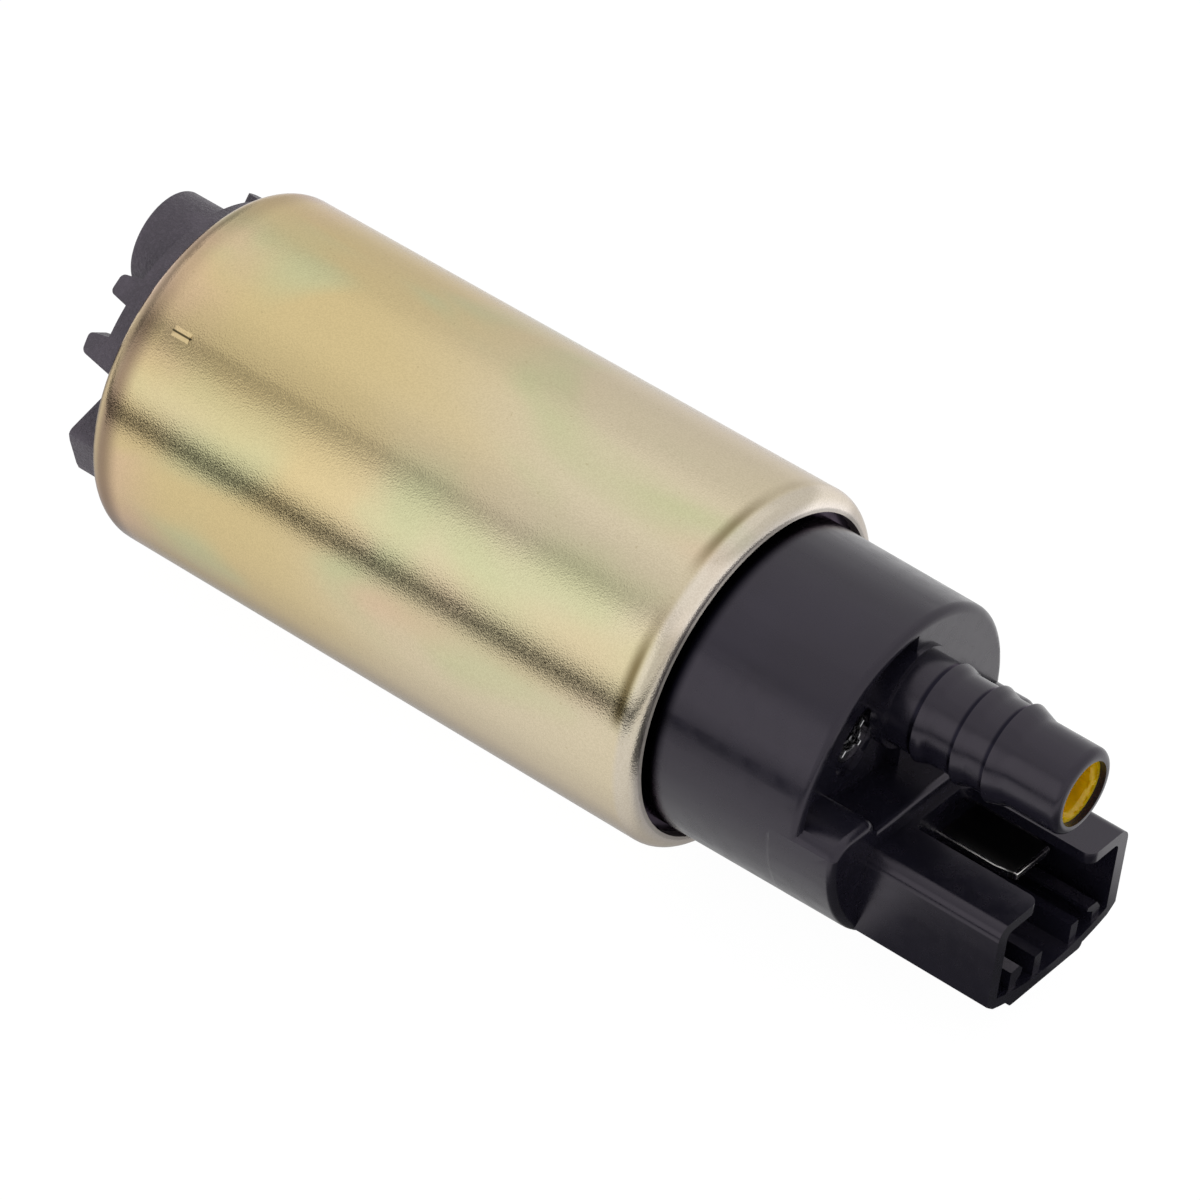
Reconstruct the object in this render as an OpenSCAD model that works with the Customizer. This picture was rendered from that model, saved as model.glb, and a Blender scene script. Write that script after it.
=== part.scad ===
// In-tank electric fuel pump: a turbine pump and its brush motor, held together by one rolled steel can.
// The pump lies on its can: the axis runs along X towards the outlet, and the nipple is on top.
// The origin is on the axis at the middle of the can. Left and right are as seen along the flow.
// The modules draw the pump standing, with heights counted from the can's inlet end, the right side
// towards X and the nipple towards minus Y; place() lays it down.

/* [Can] */
// Outer radius of the steel can
can_r = 19; // [18.6:0.1:20]
// Wall thickness of the can
can_wall = 1.2; // [1:0.05:1.4]
// Outer radius of the rolled edge at both ends
roll_r = 2; // [1.6:0.1:2.4]
// Width of each rolled lip, from the can's side to its opening
lip_w = 1.93; // [1.7:0.01:2.2]
// Gap between the outlet lip and the cap inside it
lip_gap = 0.87; // [0.5:0.01:1]
// Gap between the inlet lip and the cover inside it
face_gap = 0.77; // [0.5:0.01:1]
// Length of the stake mark pressed into the can
stake_l = 3.2; // [2:0.1:5]
// Width of the stake mark
stake_w = 1.1; // [0.8:0.1:1.6]
// Depth of the stake mark
stake_depth = 0.25; // [0.2:0.05:0.6]
// Direction of the stake mark around the axis, in degrees
stake_angle = -46; // [-60:1:-30]
// Height of the stake mark's lower end above the inlet end
stake_z = 4.7; // [3:0.1:8]

/* [Inlet cover] */
// Thickness of the cover inside the can
cover_h = 5.3; // [4.8:0.1:7]
// How far the cover's round face stands out of the can
cover_face_h = 0.7; // [0.5:0.05:0.8]
// Outer radius of the inlet spigot
spigot_r = 5.45; // [5.2:0.05:5.7]
// Radius of the bore in the inlet spigot
spigot_bore_r = 4.4; // [3.8:0.1:4.6]
// Distance from the edge of the cover's face to the middle of the spigot
spigot_inset = 5.35; // [5.2:0.05:5.6]
// Length of the spigot beyond the cover's face
spigot_l = 6.45; // [5:0.05:8]
// Height of the raised pad around the spigot
pad_h = 1.6; // [1:0.1:2]
// Radial width of the raised pad
pad_w = 6; // [4:0.5:8]
// Height of the teeth over the cover's face
tooth_h = 3.85; // [3:0.05:4.5]
// Length of a tooth along the radius
tooth_l = 2.2; // [1.6:0.1:3]
// Width of a tooth at its tip
tooth_tip_w = 2.1; // [1.6:0.1:2.6]
// Width of a tooth at its foot
tooth_foot_w = 3.6; // [2.8:0.1:4.2]
// Length of the lug along the radius
lug_l = 5.7; // [4:0.1:7]
// Width of the lug
lug_w = 6.15; // [5:0.05:7]
// Direction of the lug around the axis, in degrees
lug_angle = 19.3; // [15:0.1:24]

/* [Pump section] */
// Radius of the impeller
impeller_r = 14.9; // [14.2:0.1:15.2]
// Thickness of the impeller
impeller_t = 3.7; // [3:0.1:4.5]
// Clearance on each face of the impeller
side_gap = 0.05; // [0.03:0.01:0.08]
// Clearance around the impeller
rim_gap = 0.12; // [0.08:0.01:0.2]
// Number of blades on each face
blade_n = 36; // [24:1:42]
// Length of a blade pocket along the radius
blade_l = 2.2; // [1.6:0.1:2.6]
// Width of the closed ring outside the blades
hoop_w = 0.9; // [0.7:0.1:1.3]
// Depth of a blade pocket
blade_depth = 1.35; // [0.8:0.05:1.4]
// Depth of the flow channel in the cover and in the casing
channel_depth = 1.3; // [0.8:0.1:1.6]
// Thickness of the casing plate above the impeller
plate_h = 4.2; // [3.4:0.1:6]
// Height of the bearing boss on the casing plate
boss_h = 3.5; // [2:0.1:5]
// Height of the skirt that stops the magnets
skirt_h = 5.5; // [5:0.1:7]

/* [Shaft and bushes] */
// Radius of the shaft
shaft_r = 2.5; // [2:0.05:2.8]
// Radial clearance of the shaft in its bushes
run_gap = 0.03; // [0.02:0.005:0.06]
// Depth of the drive flat on the shaft
flat_depth = 0.6; // [0.4:0.05:0.9]
// Wall thickness of both bushes
bush_wall = 1.7; // [1.3:0.1:2]
// Length of the outlet bush
outlet_bush_l = 6.2; // [4:0.1:7.2]
// Thickness of the thrust button and of the thrust washer
thrust_t = 1.2; // [0.8:0.1:1.6]

/* [Armature and magnets] */
// Radius of the armature core
core_r = 11.2; // [10.6:0.1:11.8]
// Length of the armature core
core_l = 24.8; // [18:0.1:34]
// Number of slots in the core, and of bars on the commutator
slot_n = 8; // [6:2:12]
// Radius of the round part of a slot
slot_r = 2; // [1.4:0.1:2.1]
// Height of the end windings on each side of the core
wind_h = 4.6; // [3.6:0.1:6]
// Thickness of the insulator on each end of the core
insulator_t = 0.8; // [0.5:0.1:1.2]
// Air gap between the core and the magnets
air_gap = 0.7; // [0.4:0.05:0.9]
// Angle that one magnet covers
magnet_angle = 126; // [110:1:136]
// Thickness of the spring clip between the magnets
clip_t = 0.6; // [0.4:0.05:0.8]
// Radius of the commutator face
comm_r = 10.6; // [10.4:0.1:11.4]
// Thickness of the commutator's moulded base
comm_base_t = 1.6; // [1.2:0.1:2.4]
// Thickness of the commutator bars
bar_t = 2.4; // [1.5:0.1:3]
// Width of the slits between the bars
slit_w = 0.5; // [0.3:0.05:0.8]

/* [Brush gear] */
// Distance from the axis to the centre of a brush
brush_x = 7.7; // [7.6:0.05:7.9]
// Size of a brush along the radius
brush_d = 4.2; // [3.4:0.1:4.4]
// Size of a brush across the radius
brush_w = 5.2; // [4:0.1:5.4]
// Length of a brush
brush_l = 6.5; // [5:0.1:7.5]
// Sliding clearance of a brush in its guide
brush_gap = 0.1; // [0.06:0.01:0.15]
// Wall thickness of a brush guide
guide_wall = 0.9; // [0.7:0.05:1]
// Gap between the commutator face and the brush holder
holder_gap = 1; // [0.6:0.1:1.4]
// Thickness of the brush holder's plate
holder_t = 1.8; // [1.4:0.1:2.4]
// Height of the brush spring, fitted
brush_spring_h = 6.1; // [5.4:0.1:7]
// Wire radius of the brush spring
brush_wire_r = 0.25; // [0.15:0.01:0.28]
// Turns of a brush spring
brush_turns = 5; // [3:1:6]
// Radius of the strands of a brush lead
lead_r = 0.45; // [0.3:0.05:0.7]
// Thickness of the brass contact plates
contact_t = 0.6; // [0.4:0.05:0.8]
// Radius of a choke's ferrite core
choke_r = 1.1; // [0.9:0.1:1.3]
// Wire radius of a choke's winding
choke_wire_r = 0.35; // [0.3:0.05:0.4]

/* [Outlet cap] */
// Draft of the cap's side, in degrees
cap_draft = 0.6; // [0:0.1:1]
// Thickness of the cap's shoulder under the rolled lip
shoulder_h = 5.95; // [5:0.05:8]
// Height of the low half's rim above the can
rim_h = 17.05; // [15:0.05:19]
// How much higher the connector half stands
step_h = 4.3; // [3:0.1:6]
// Place of the wall between the two halves, across the axis
step_y = 0.5; // [-0.3:0.1:1]
// How far the posts at both ends of that wall stand in front of it
post_front = 1.6; // [1.2:0.1:2]
// Distance from the axis to the inner side of a post
post_x = 9.5; // [9.2:0.1:10]
// Rounding of a post's inner corner
post_round = 1.2; // [1:0.1:1.5]
// Rounding of a post's outer corner
post_sweep = 3.4; // [2.5:0.1:4]
// Depth of the recess inside the low rim
recess_depth = 1.3; // [0.6:0.1:1.6]
// Width of the low rim
rim_w = 1.2; // [0.9:0.1:1.6]
// Rounding of the cap's outer edges
cap_round = 0.9; // [0.4:0.1:1.1]
// Wall thickness of the cap around its chamber
cap_wall = 2; // [1.6:0.1:2.1]
// Thickness of the roof between the recess floor and the chamber
roof_t = 3.5; // [2.5:0.1:4.5]
// Section radius of the seal ring
seal_r = 0.8; // [0.6:0.05:1]

/* [Outlet nipple] */
// Distance from the axis to the centre of the nipple
nipple_y = 7.8; // [7.4:0.1:8.2]
// Height of the nipple's tip above the can
nipple_h = 36.65; // [35:0.05:39]
// Radius of the bore at the nipple's tip
nipple_bore_r = 3.37; // [3.1:0.01:3.5]
// Radius of the plain neck before the first barb
neck_r = 4.45; // [4.3:0.05:4.5]
// Radius over the barbs
barb_r = 5.1; // [4.9:0.05:5.3]
// Radius in the valleys behind the barbs
valley_r = 4.65; // [4.6:0.05:4.8]
// Distance from the nipple's tip to the crest of the first barb
first_crest = 7.85; // [7:0.05:9]
// Distance from the first crest to the second
upper_pitch = 3.6; // [3.2:0.05:4.2]
// Distance from the second crest to the third
lower_pitch = 4.45; // [4:0.05:5]
// Length of one barb's slope
slope_l = 1.9; // [1.5:0.1:2.5]
// Radius between the last barb and the root
stalk_r = 4.8; // [4.7:0.05:4.9]
// Radius of the ring at the nipple's root
root_r = 5.3; // [5.1:0.1:5.6]
// Height of that ring above the low rim
root_h = 0.5; // [0.2:0.1:1]

/* [Valves] */
// How far the yellow sleeve lies below the nipple's tip
sleeve_drop = 0.7; // [0.5:0.1:1.5]
// Length of the yellow sleeve
sleeve_l = 8.2; // [6:0.1:9]
// Bore radius of the yellow sleeve
sleeve_bore_r = 2.6; // [2.3:0.05:2.7]
// Length of the outlet bore above the valve seat
valve_room = 17.4; // [16:0.1:18]
// Radius of the hole under the check valve
seat_r = 2.1; // [1.6:0.1:2.3]
// Radius of the check valve's head
poppet_r = 2.75; // [2.5:0.05:2.9]
// Radius of the check valve's stem
stem_r = 0.8; // [0.6:0.05:1]
// Wire radius of the check valve's spring
valve_wire_r = 0.22; // [0.15:0.01:0.28]
// Turns of the check valve's spring
valve_turns = 5; // [4:1:7]
// Place of the relief valve to the right of the axis
relief_x = 6; // [5.6:0.1:6.4]
// Place of the relief valve above the axis
relief_y = 5; // [4.8:0.1:5.4]
// Radius of the relief valve's ball
ball_r = 1.9; // [1.7:0.05:2]
// Radius of the hole under the ball
relief_hole_r = 1.3; // [1:0.05:1.5]
// Depth of the relief valve's bore below the recess floor
relief_depth = 9.5; // [9:0.1:11]
// Wire radius of the relief spring
relief_wire_r = 0.25; // [0.18:0.01:0.28]
// Turns of the relief spring
relief_turns = 4; // [3:1:5]

/* [Connector] */
// Height of the connector's open end above the can
socket_h = 36.4; // [33:0.1:40]
// Outer width of the connector box
socket_w = 20.6; // [19.4:0.1:21]
// Place of the connector's outer face, across the axis
socket_y = 2.55; // [2.2:0.05:3]
// How far the bowed wall's middle lies inside the cap's side
bow_inset = 1.9; // [1.4:0.05:2.2]
// Outer radius of the bowed wall
bow_r = 28; // [24:0.5:40]
// How far the connector's two outer corners lie inside the cap's side
corner_inset = 0.5; // [0.3:0.05:0.9]
// Rounding of the connector's corners at the lips
corner_round = 1.45; // [1:0.05:1.8]
// Width of the latch pad on the bowed wall
latch_w = 11.8; // [9:0.1:14]
// Thickness of the latch pad at the bowed wall's middle
latch_t = 0.6; // [0.3:0.05:0.8]
// Thickness of the two lips
lip_t = 1.2; // [0.9:0.05:1.5]
// Thickness of the side walls
side_t = 1.5; // [1.1:0.05:1.8]
// Thickness of the bowed wall
bow_t = 1.1; // [0.8:0.05:1.4]
// Width of the slot between the lips
slot_w = 8.3; // [7:0.1:9.5]
// Rounding of the slot's corners
slot_round = 1.1; // [0.6:0.1:1.4]
// Width of a terminal blade
blade_w = 6.3; // [5:0.1:6.3]
// Thickness of a terminal blade
blade_t = 0.8; // [0.6:0.05:1]
// Distance from the middle to the centre of a blade
blade_x = 5; // [4.6:0.05:5.2]
// Place of the blades across the axis
blade_y = 7.9; // [7.6:0.05:8.2]
// How far a blade ends below the connector's open end
blade_drop = 6.35; // [5:0.05:9]
// Height of the hooked ribs in the connector, from its inner side
key_h = 2.9; // [2:0.1:3.2]
// Thickness of the two plain ribs
key_t = 1.15; // [0.8:0.05:1.4]

/* [Hidden] */

$fn = 72;
// Cutting tools reach this far past the face that they cut
over = 0.5;
// Clearance of a piece pressed or laid into its seat
seat = 0.02;
// Clearance between the can and the pieces stacked inside it
fit = 0.05;

can_in_r = can_r - can_wall;
stack_r = can_in_r - fit;
opening_r = can_r - lip_w;
face_r = opening_r - face_gap;
cap_r = opening_r - lip_gap;

// Directions around the axis, in degrees
nipple_side = 270;
connector_side = 90;

// Inlet cover's outside
spigot_y = face_r - spigot_inset;
pad_start = 228;
pad_end = 337;
tooth_angles = [-50.6, -28, 72, 105, 138, 171, 207, 234];
tooth_tip_round = 0.6;
lug_round = 0.8;

// Heights of the stack, from the inlet end of the can
cover_z0 = can_wall;
cover_z1 = cover_z0 + cover_h;
impeller_z0 = cover_z1 + side_gap;
cavity_z1 = impeller_z0 + impeller_t + side_gap;
plate_z1 = cavity_z1 + plate_h;
boss_z1 = plate_z1 + boss_h;
skirt_z1 = plate_z1 + skirt_h;
washer_z0 = boss_z1 + fit;
rotor_z0 = washer_z0 + thrust_t + seat;
core_z0 = rotor_z0 + wind_h;
core_z1 = core_z0 + core_l;
comm_z0 = core_z1 + wind_h + seat;
bar_z0 = comm_z0 + comm_base_t;
comm_z1 = bar_z0 + bar_t;
holder_z0 = comm_z1 + holder_gap;
cap_z0 = holder_z0 + holder_t;
shoulder_z1 = cap_z0 + shoulder_h;
can_h = shoulder_z1 + can_wall;

// Channel of the turbine, under and over the blades
channel_r = impeller_r - hoop_w - blade_l / 2;
channel_w = blade_l + 0.5;
cavity_r = impeller_r + rim_gap;
inlet_port_half = 20;
channel_start = -90;
channel_end = 215;
outlet_port_half = 12;
vane_t = 0.56;

// Thrust button and shaft ends
button_r = shaft_r + 0.25;
button_z0 = cover_z1 - 4.2;
shaft_z0 = button_z0 + thrust_t + seat;
bush_r = shaft_r + run_gap + bush_wall;
boss_r = bush_r + 1.2;
bush_z0 = cavity_z1 + 0.6;
outlet_bush_z1 = holder_z0 + outlet_bush_l;
shaft_z1 = outlet_bush_z1 - 0.5;

// Magnets
magnet_r = core_r + air_gap;
magnet_z0 = skirt_z1;
magnet_z1 = core_z1 + 3.6;
ring_in_r = stack_r - 2;

// Brush gear
guide_x = brush_d + 2 * brush_gap;
guide_y = brush_w + 2 * brush_gap;
brush_z0 = comm_z1 + seat;
brush_z1 = brush_z0 + brush_l;
guide_z1 = brush_z1 + brush_spring_h + fit;
contact_z1 = guide_z1 + contact_t;
holder_window_half = 38;
choke_out_r = choke_r + seat + 2 * choke_wire_r;
choke_y = guide_y / 2 + guide_wall + choke_out_r + 0.1;
choke_x = sqrt(pow(cap_r - cap_wall - choke_out_r - 0.15, 2) - choke_y * choke_y);
foot_z0 = cap_z0 + 1.2;
foot_z1 = foot_z0 + blade_t;
brush_coil_r = min(brush_d, brush_w) / 2 - brush_wire_r - 0.3;

// Outlet cap
rim_z = can_h + rim_h;
floor_z = rim_z - recess_depth;
face_z = rim_z + step_h;
roof_z = floor_z - roof_t;
chamber_r = cap_r - cap_wall;
top_r = cap_r - (face_z - shoulder_z1) * tan(cap_draft);
seal_groove_z = cap_z0 + shoulder_h / 2 - 0.6;

// Outlet nipple and check valve
tip_z = can_h + nipple_h;
valve_seat_z = tip_z - valve_room;
sleeve_z1 = tip_z - sleeve_drop;
sleeve_z0 = sleeve_z1 - sleeve_l;
sleeve_mouth_r = sleeve_bore_r + 0.4;
spider_t = 1.4;
seal_t = 0.7;
head_t = 1;
valve_lift = 1.8;
seal_z0 = valve_seat_z + seat;
head_z0 = seal_z0 + seal_t;
head_z1 = head_z0 + head_t;
stem_z1 = sleeve_z0 + spider_t + 0.8;
valve_coil_r = stem_r + valve_wire_r + 0.45;

// Relief valve
relief_bore_r = ball_r + 0.6;
relief_seat_z = floor_z - relief_depth;
ball_z = relief_seat_z + sqrt(ball_r * ball_r - relief_hole_r * relief_hole_r) + 0.03;
retainer_t = 1.2;
retainer_z0 = floor_z - 0.6 - retainer_t;
relief_coil_r = ball_r - relief_wire_r - 0.05;
relief_spring_z0 = ball_z + sqrt(ball_r * ball_r - pow(relief_coil_r - relief_wire_r, 2)) - 0.1;

// Connector
socket_z1 = can_h + socket_h;
blade_z1 = socket_z1 - blade_drop;
socket_depth = cap_r - bow_inset;
bow_y = socket_depth - bow_r;
latch_drop = 0.3;
slot_z0 = face_z + 0.6;

module place() {
  rotate([-90, 0, -90]) translate([0, 0, -can_h / 2]) children();
}

// Tube between two radii, from height z0 to height z1
module tube(r_out, r_in, z0, z1) {
  translate([0, 0, z0]) difference() {
    cylinder(r = r_out, h = z1 - z0);
    translate([0, 0, -over]) cylinder(r = r_in, h = z1 - z0 + 2 * over);
  }
}

// Solid cylinder from height z0 to height z1
module rod(r, z0, z1) {
  translate([0, 0, z0]) cylinder(r = r, h = z1 - z0);
}

// Rectangle with four rounded corners
module round_rect(x0, y0, x1, y1, r) {
  translate([x0 + r, y0]) square([x1 - x0 - 2 * r, y1 - y0]);
  translate([x0, y0 + r]) square([x1 - x0, y1 - y0 - 2 * r]);
  for (x = [x0 + r, x1 - r], y = [y0 + r, y1 - r]) translate([x, y]) circle(r);
}

// Half section of a round disc whose lower or upper outer edge is rounded
module disc_section(r, z0, z1, low, high) {
  polygon([[0, z0], [r - low, z0], [r, z0 + low], [r, z1 - high], [r - high, z1], [0, z1]]);
  if (low > 0) translate([r - low, z0 + low]) circle(low);
  if (high > 0) translate([r - high, z1 - high]) circle(high);
}

// Points of one ring of wire, standing square to the helix at the angle a
function wire_ring(a, z, r_coil, r_wire, slope, sides) = [
  for (j = [0:sides - 1])
    let (b = 360 * j / sides, u = r_wire * cos(b), v = r_wire * sin(b))
    [
      (r_coil + u) * cos(a) + v * slope * sin(a),
      (r_coil + u) * sin(a) - v * slope * cos(a),
      z + v * sqrt(1 - slope * slope)
    ]
];

// Middle of the wire at the angle a of a coil
function wire_middle(a, r_coil, pitch) = [r_coil * cos(a), r_coil * sin(a), pitch * a / 360];

// Least gap of a coil to itself, measured between points half a turn or more apart
function coil_gap(r_coil, r_wire, turns, pitch, rings) = min([
  for (i = [0:turns * rings], k = [i + rings / 2:turns * rings])
    norm(wire_middle(i * 360 / rings, r_coil, pitch) - wire_middle(k * 360 / rings, r_coil, pitch))
      - 2 * r_wire
]);

// Coil spring as one unbroken tube, from height 0 to height h
module coil_spring(name, r_coil, r_wire, turns, h, rings = 8, sides = 6) {
  pitch = (h - 2 * r_wire) / turns;
  slope = pitch / sqrt(pitch * pitch + pow(2 * PI * r_coil, 2));
  count = turns * rings;
  points = [
    for (i = [0:count])
      each wire_ring(i * 360 / rings, r_wire + pitch * i / rings, r_coil, r_wire, slope, sides)
  ];
  side_faces = [
    for (i = [0:count - 1], j = [0:sides - 1])
      let (a = i * sides + j, b = i * sides + (j + 1) % sides)
      each [[a, b + sides, b], [a, a + sides, b + sides]]
  ];
  start_face = [for (j = [1:sides - 2]) [0, j, j + 1]];
  end_face = [for (j = [1:sides - 2]) [count * sides, count * sides + j + 1, count * sides + j]];
  echo(str(name, " least gap of the coil to itself, mm: "), coil_gap(r_coil, r_wire, turns, pitch, rings));
  polyhedron(points = points, faces = concat(side_faces, start_face, end_face));
}

// Can with both ends rolled in over the pieces that it holds
module can() {
  color([0.78, 0.72, 0.55]) place() difference() {
    rotate_extrude() difference() {
      disc_section(can_r, 0, can_h, roll_r, roll_r);
      disc_section(can_in_r, can_wall, can_h - can_wall, roll_r - can_wall, roll_r - can_wall);
      translate([0, -over]) square([opening_r, can_h + 2 * over]);
    }
    rotate([0, 0, stake_angle]) translate([can_r, 0, stake_z]) stake_mark();
  }
}

// Cutter for the stake mark: a short groove with two flat sides, lying along the can
module stake_mark() {
  half = stake_w / 2 * (stake_depth + over) / stake_depth;
  slope = stake_l / 4;
  intersection() {
    linear_extrude(stake_l) polygon([[-stake_depth, 0], [over, -half], [over, half]]);
    translate([0, half, 0]) rotate([90, 0, 0]) linear_extrude(2 * half)
      polygon([[over, 0], [over, stake_l], [-stake_depth, stake_l - slope], [-stake_depth, slope]]);
  }
}

// Round-bottomed flow channel, from one angle to another, cut into a face at height z
module channel(z, from, to) {
  translate([0, 0, z]) rotate([0, 0, from]) rotate_extrude(angle = to - from) {
    translate([channel_r, 0]) intersection() {
      scale([1, channel_depth / (channel_w / 2)]) circle(channel_w / 2);
      square([channel_w + over, 2 * channel_depth + over], center = true);
    }
  }
}

// Curved port through a plate, centred on an angle
module port(mid, half, z0, z1) {
  translate([0, 0, z0]) rotate([0, 0, mid - half]) rotate_extrude(angle = 2 * half)
    translate([channel_r - channel_w / 2, 0]) square([channel_w, z1 - z0]);
}

// Tooth on the cover's face: sloped flanks and a tip with round edges
module face_tooth(angle) {
  lean = (tooth_foot_w - tooth_tip_w) / 2;
  flank = sqrt(lean * lean + tooth_h * tooth_h);
  depth = tooth_h - tooth_tip_round;
  round_x = tooth_foot_w / 2 - (lean * depth + tooth_tip_round * flank) / tooth_h;
  edge_x = round_x + tooth_tip_round * tooth_h / flank;
  edge_z = depth + tooth_tip_round * lean / flank;
  rotate([0, 0, angle]) translate([face_r - tooth_l, 0, -cover_face_h]) rotate([90, 0, 90])
    linear_extrude(tooth_l + 1) {
      polygon([
        [-tooth_foot_w / 2, over], [-tooth_foot_w / 2, 0], [-edge_x, -edge_z], [-round_x, -tooth_h],
        [round_x, -tooth_h], [edge_x, -edge_z], [tooth_foot_w / 2, 0], [tooth_foot_w / 2, over]
      ]);
      for (side = [-1, 1]) translate([side * round_x, -depth]) circle(tooth_tip_round);
    }
}

// Raised pad around the spigot, as a piece of a ring
module face_pad() {
  translate([0, 0, -cover_face_h - pad_h]) rotate([0, 0, pad_start])
    rotate_extrude(angle = pad_end - pad_start) translate([face_r - pad_w, 0]) square([pad_w + 1, pad_h + over]);
}

// Block on the cover's face that stops the strainer from turning
module face_lug() {
  rotate([0, 0, lug_angle]) translate([0, 0, -cover_face_h - tooth_h]) linear_extrude(tooth_h + over)
    round_rect(face_r - lug_l - 0.1, -lug_w / 2, face_r - 0.1, lug_w / 2, lug_round);
}

// Inlet cover with its spigot, teeth and lug, and the lower half of the flow channel
module inlet_cover() {
  spigot_z = -cover_face_h - spigot_l;
  color([0.34, 0.31, 0.36]) place() difference() {
    union() {
      rotate_extrude() disc_section(stack_r, cover_z0, cover_z1, roll_r - can_wall, 0);
      intersection() {
        rod(face_r, -cover_face_h - tooth_h - over, cover_z0 + over);
        union() {
          rod(can_r, -cover_face_h, cover_z0 + 2 * over);
          face_pad();
          for (angle = tooth_angles) face_tooth(angle);
          face_lug();
        }
      }
      translate([0, -spigot_y, 0]) rotate_extrude() disc_section(spigot_r, spigot_z, cover_z0 + over, 0.3, 0);
    }
    translate([0, -spigot_y, 0]) rod(spigot_bore_r, spigot_z - over, cover_z1 - 2.4);
    port(nipple_side, inlet_port_half, cover_z1 - 3, cover_z1 + over);
    channel(cover_z1, channel_start, channel_end);
    rod(button_r + seat, button_z0, cover_z1 + over);
    rotate([0, 0, 40]) translate([channel_r, 0, 0]) rod(0.6, -cover_face_h - over, cover_z1);
  }
}

// Steel button that carries the end of the shaft
module thrust_button() {
  color([0.75, 0.75, 0.77]) place() rod(button_r, button_z0, button_z0 + thrust_t);
}

// One face's pockets between the impeller's blades
module blade_pockets(z) {
  r0 = impeller_r - hoop_w - blade_l;
  r1 = impeller_r - hoop_w;
  half0 = PI * r0 / blade_n - vane_t / 2;
  half1 = PI * r1 / blade_n - vane_t / 2;
  translate([0, 0, z]) linear_extrude(blade_depth + over) for (i = [0:blade_n - 1])
    rotate([0, 0, i * 360 / blade_n]) polygon([[r0, -half0], [r1, -half1], [r1, half1], [r0, half0]]);
}

// Impeller, driven by the flat on the shaft
module impeller() {
  color([0.22, 0.2, 0.19]) place() difference() {
    rod(impeller_r, impeller_z0, impeller_z0 + impeller_t);
    shaft_section(impeller_z0 - over, impeller_z0 + impeller_t + over, seat, true);
    blade_pockets(impeller_z0 - over);
    blade_pockets(impeller_z0 + impeller_t - blade_depth);
    for (i = [0:2]) rotate([0, 0, 60 + i * 120]) translate([2.4 * shaft_r, 0, 0])
      rod(0.9, impeller_z0 - over, impeller_z0 + impeller_t + over);
  }
}

// Shaft, or the hole for it, between two heights, with or without its drive flat
module shaft_section(z0, z1, gap, flat) {
  difference() {
    rod(shaft_r + gap, z0, z1);
    if (flat) translate([shaft_r - flat_depth + gap, -2 * shaft_r, z0 - over])
      cube([2 * shaft_r, 4 * shaft_r, z1 - z0 + 2 * over]);
  }
}

// Pump casing: closes the impeller's chamber, holds the inlet bush and stops the magnets
module pump_casing() {
  color([0.3, 0.28, 0.3]) place() difference() {
    union() {
      rod(stack_r, cover_z1, plate_z1);
      rod(boss_r, plate_z1 - over, boss_z1);
      tube(stack_r, ring_in_r, plate_z1 - over, skirt_z1);
    }
    rod(cavity_r, cover_z1 - over, cavity_z1);
    rod(bush_r + seat, bush_z0, boss_z1 + over);
    rod(shaft_r + 0.4, cavity_z1 - over, boss_z1);
    channel(cavity_z1, channel_start - inlet_port_half, channel_end);
    port(channel_end - outlet_port_half, outlet_port_half, cavity_z1, plate_z1 + over);
  }
}

module inlet_bush() {
  color([0.62, 0.46, 0.28]) place() tube(bush_r, shaft_r + run_gap, bush_z0 + seat, boss_z1);
}

// Shaft with the flat that drives the impeller
module shaft() {
  color([0.8, 0.8, 0.82]) place() {
    shaft_section(shaft_z0, cavity_z1 + 0.3, 0, true);
    shaft_section(cavity_z1 + 0.3, shaft_z1, 0, false);
  }
}

// Washer between the armature and the inlet bush
module thrust_washer() {
  color([0.85, 0.83, 0.75]) place() tube(bush_r, shaft_r + seat, washer_z0, washer_z0 + thrust_t);
}

// Outline of the core: a round lamination with open slots, drawn smaller by shrink
module lamination(shrink) {
  slot_pitch_r = core_r - slot_r - 1.2;
  difference() {
    circle(core_r - shrink);
    circle(shaft_r + seat);
    for (i = [0:slot_n - 1]) rotate([0, 0, (i + 0.5) * 360 / slot_n]) {
      translate([slot_pitch_r, 0]) circle(slot_r);
      translate([slot_pitch_r, -0.7]) square([slot_r + 2, 1.4]);
    }
  }
}

module armature_core() {
  color([0.5, 0.5, 0.53]) place() translate([0, 0, core_z0 + insulator_t])
    linear_extrude(core_l - 2 * insulator_t) lamination(0);
}

// Moulded insulators that keep the wire off the core's end faces
module core_insulators() {
  color([0.85, 0.8, 0.62]) place() for (z = [core_z0, core_z1 - insulator_t])
    translate([0, 0, z]) linear_extrude(insulator_t) lamination(0.3);
}

// Copper windings: round bundles in the slots, joined by the end windings
module windings() {
  slot_pitch_r = core_r - slot_r - 1.2;
  in_r = shaft_r + 1.6;
  out_r = core_r - 1.3;
  color([0.72, 0.4, 0.2]) place() {
    for (i = [0:slot_n - 1]) rotate([0, 0, (i + 0.5) * 360 / slot_n]) translate([slot_pitch_r, 0, 0])
      rod(slot_r - 0.06, rotor_z0 + wind_h / 2, core_z1 + wind_h / 2);
    for (z = [rotor_z0, core_z1]) difference() {
      translate([0, 0, z]) rotate_extrude() round_rect(in_r, 0, out_r, wind_h, 1.4);
      for (i = [0:slot_n - 1]) rotate([0, 0, i * 360 / slot_n]) translate([out_r + 1, 0, 0])
        rod(1.8, z - over, z + wind_h + over);
    }
  }
}

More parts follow.
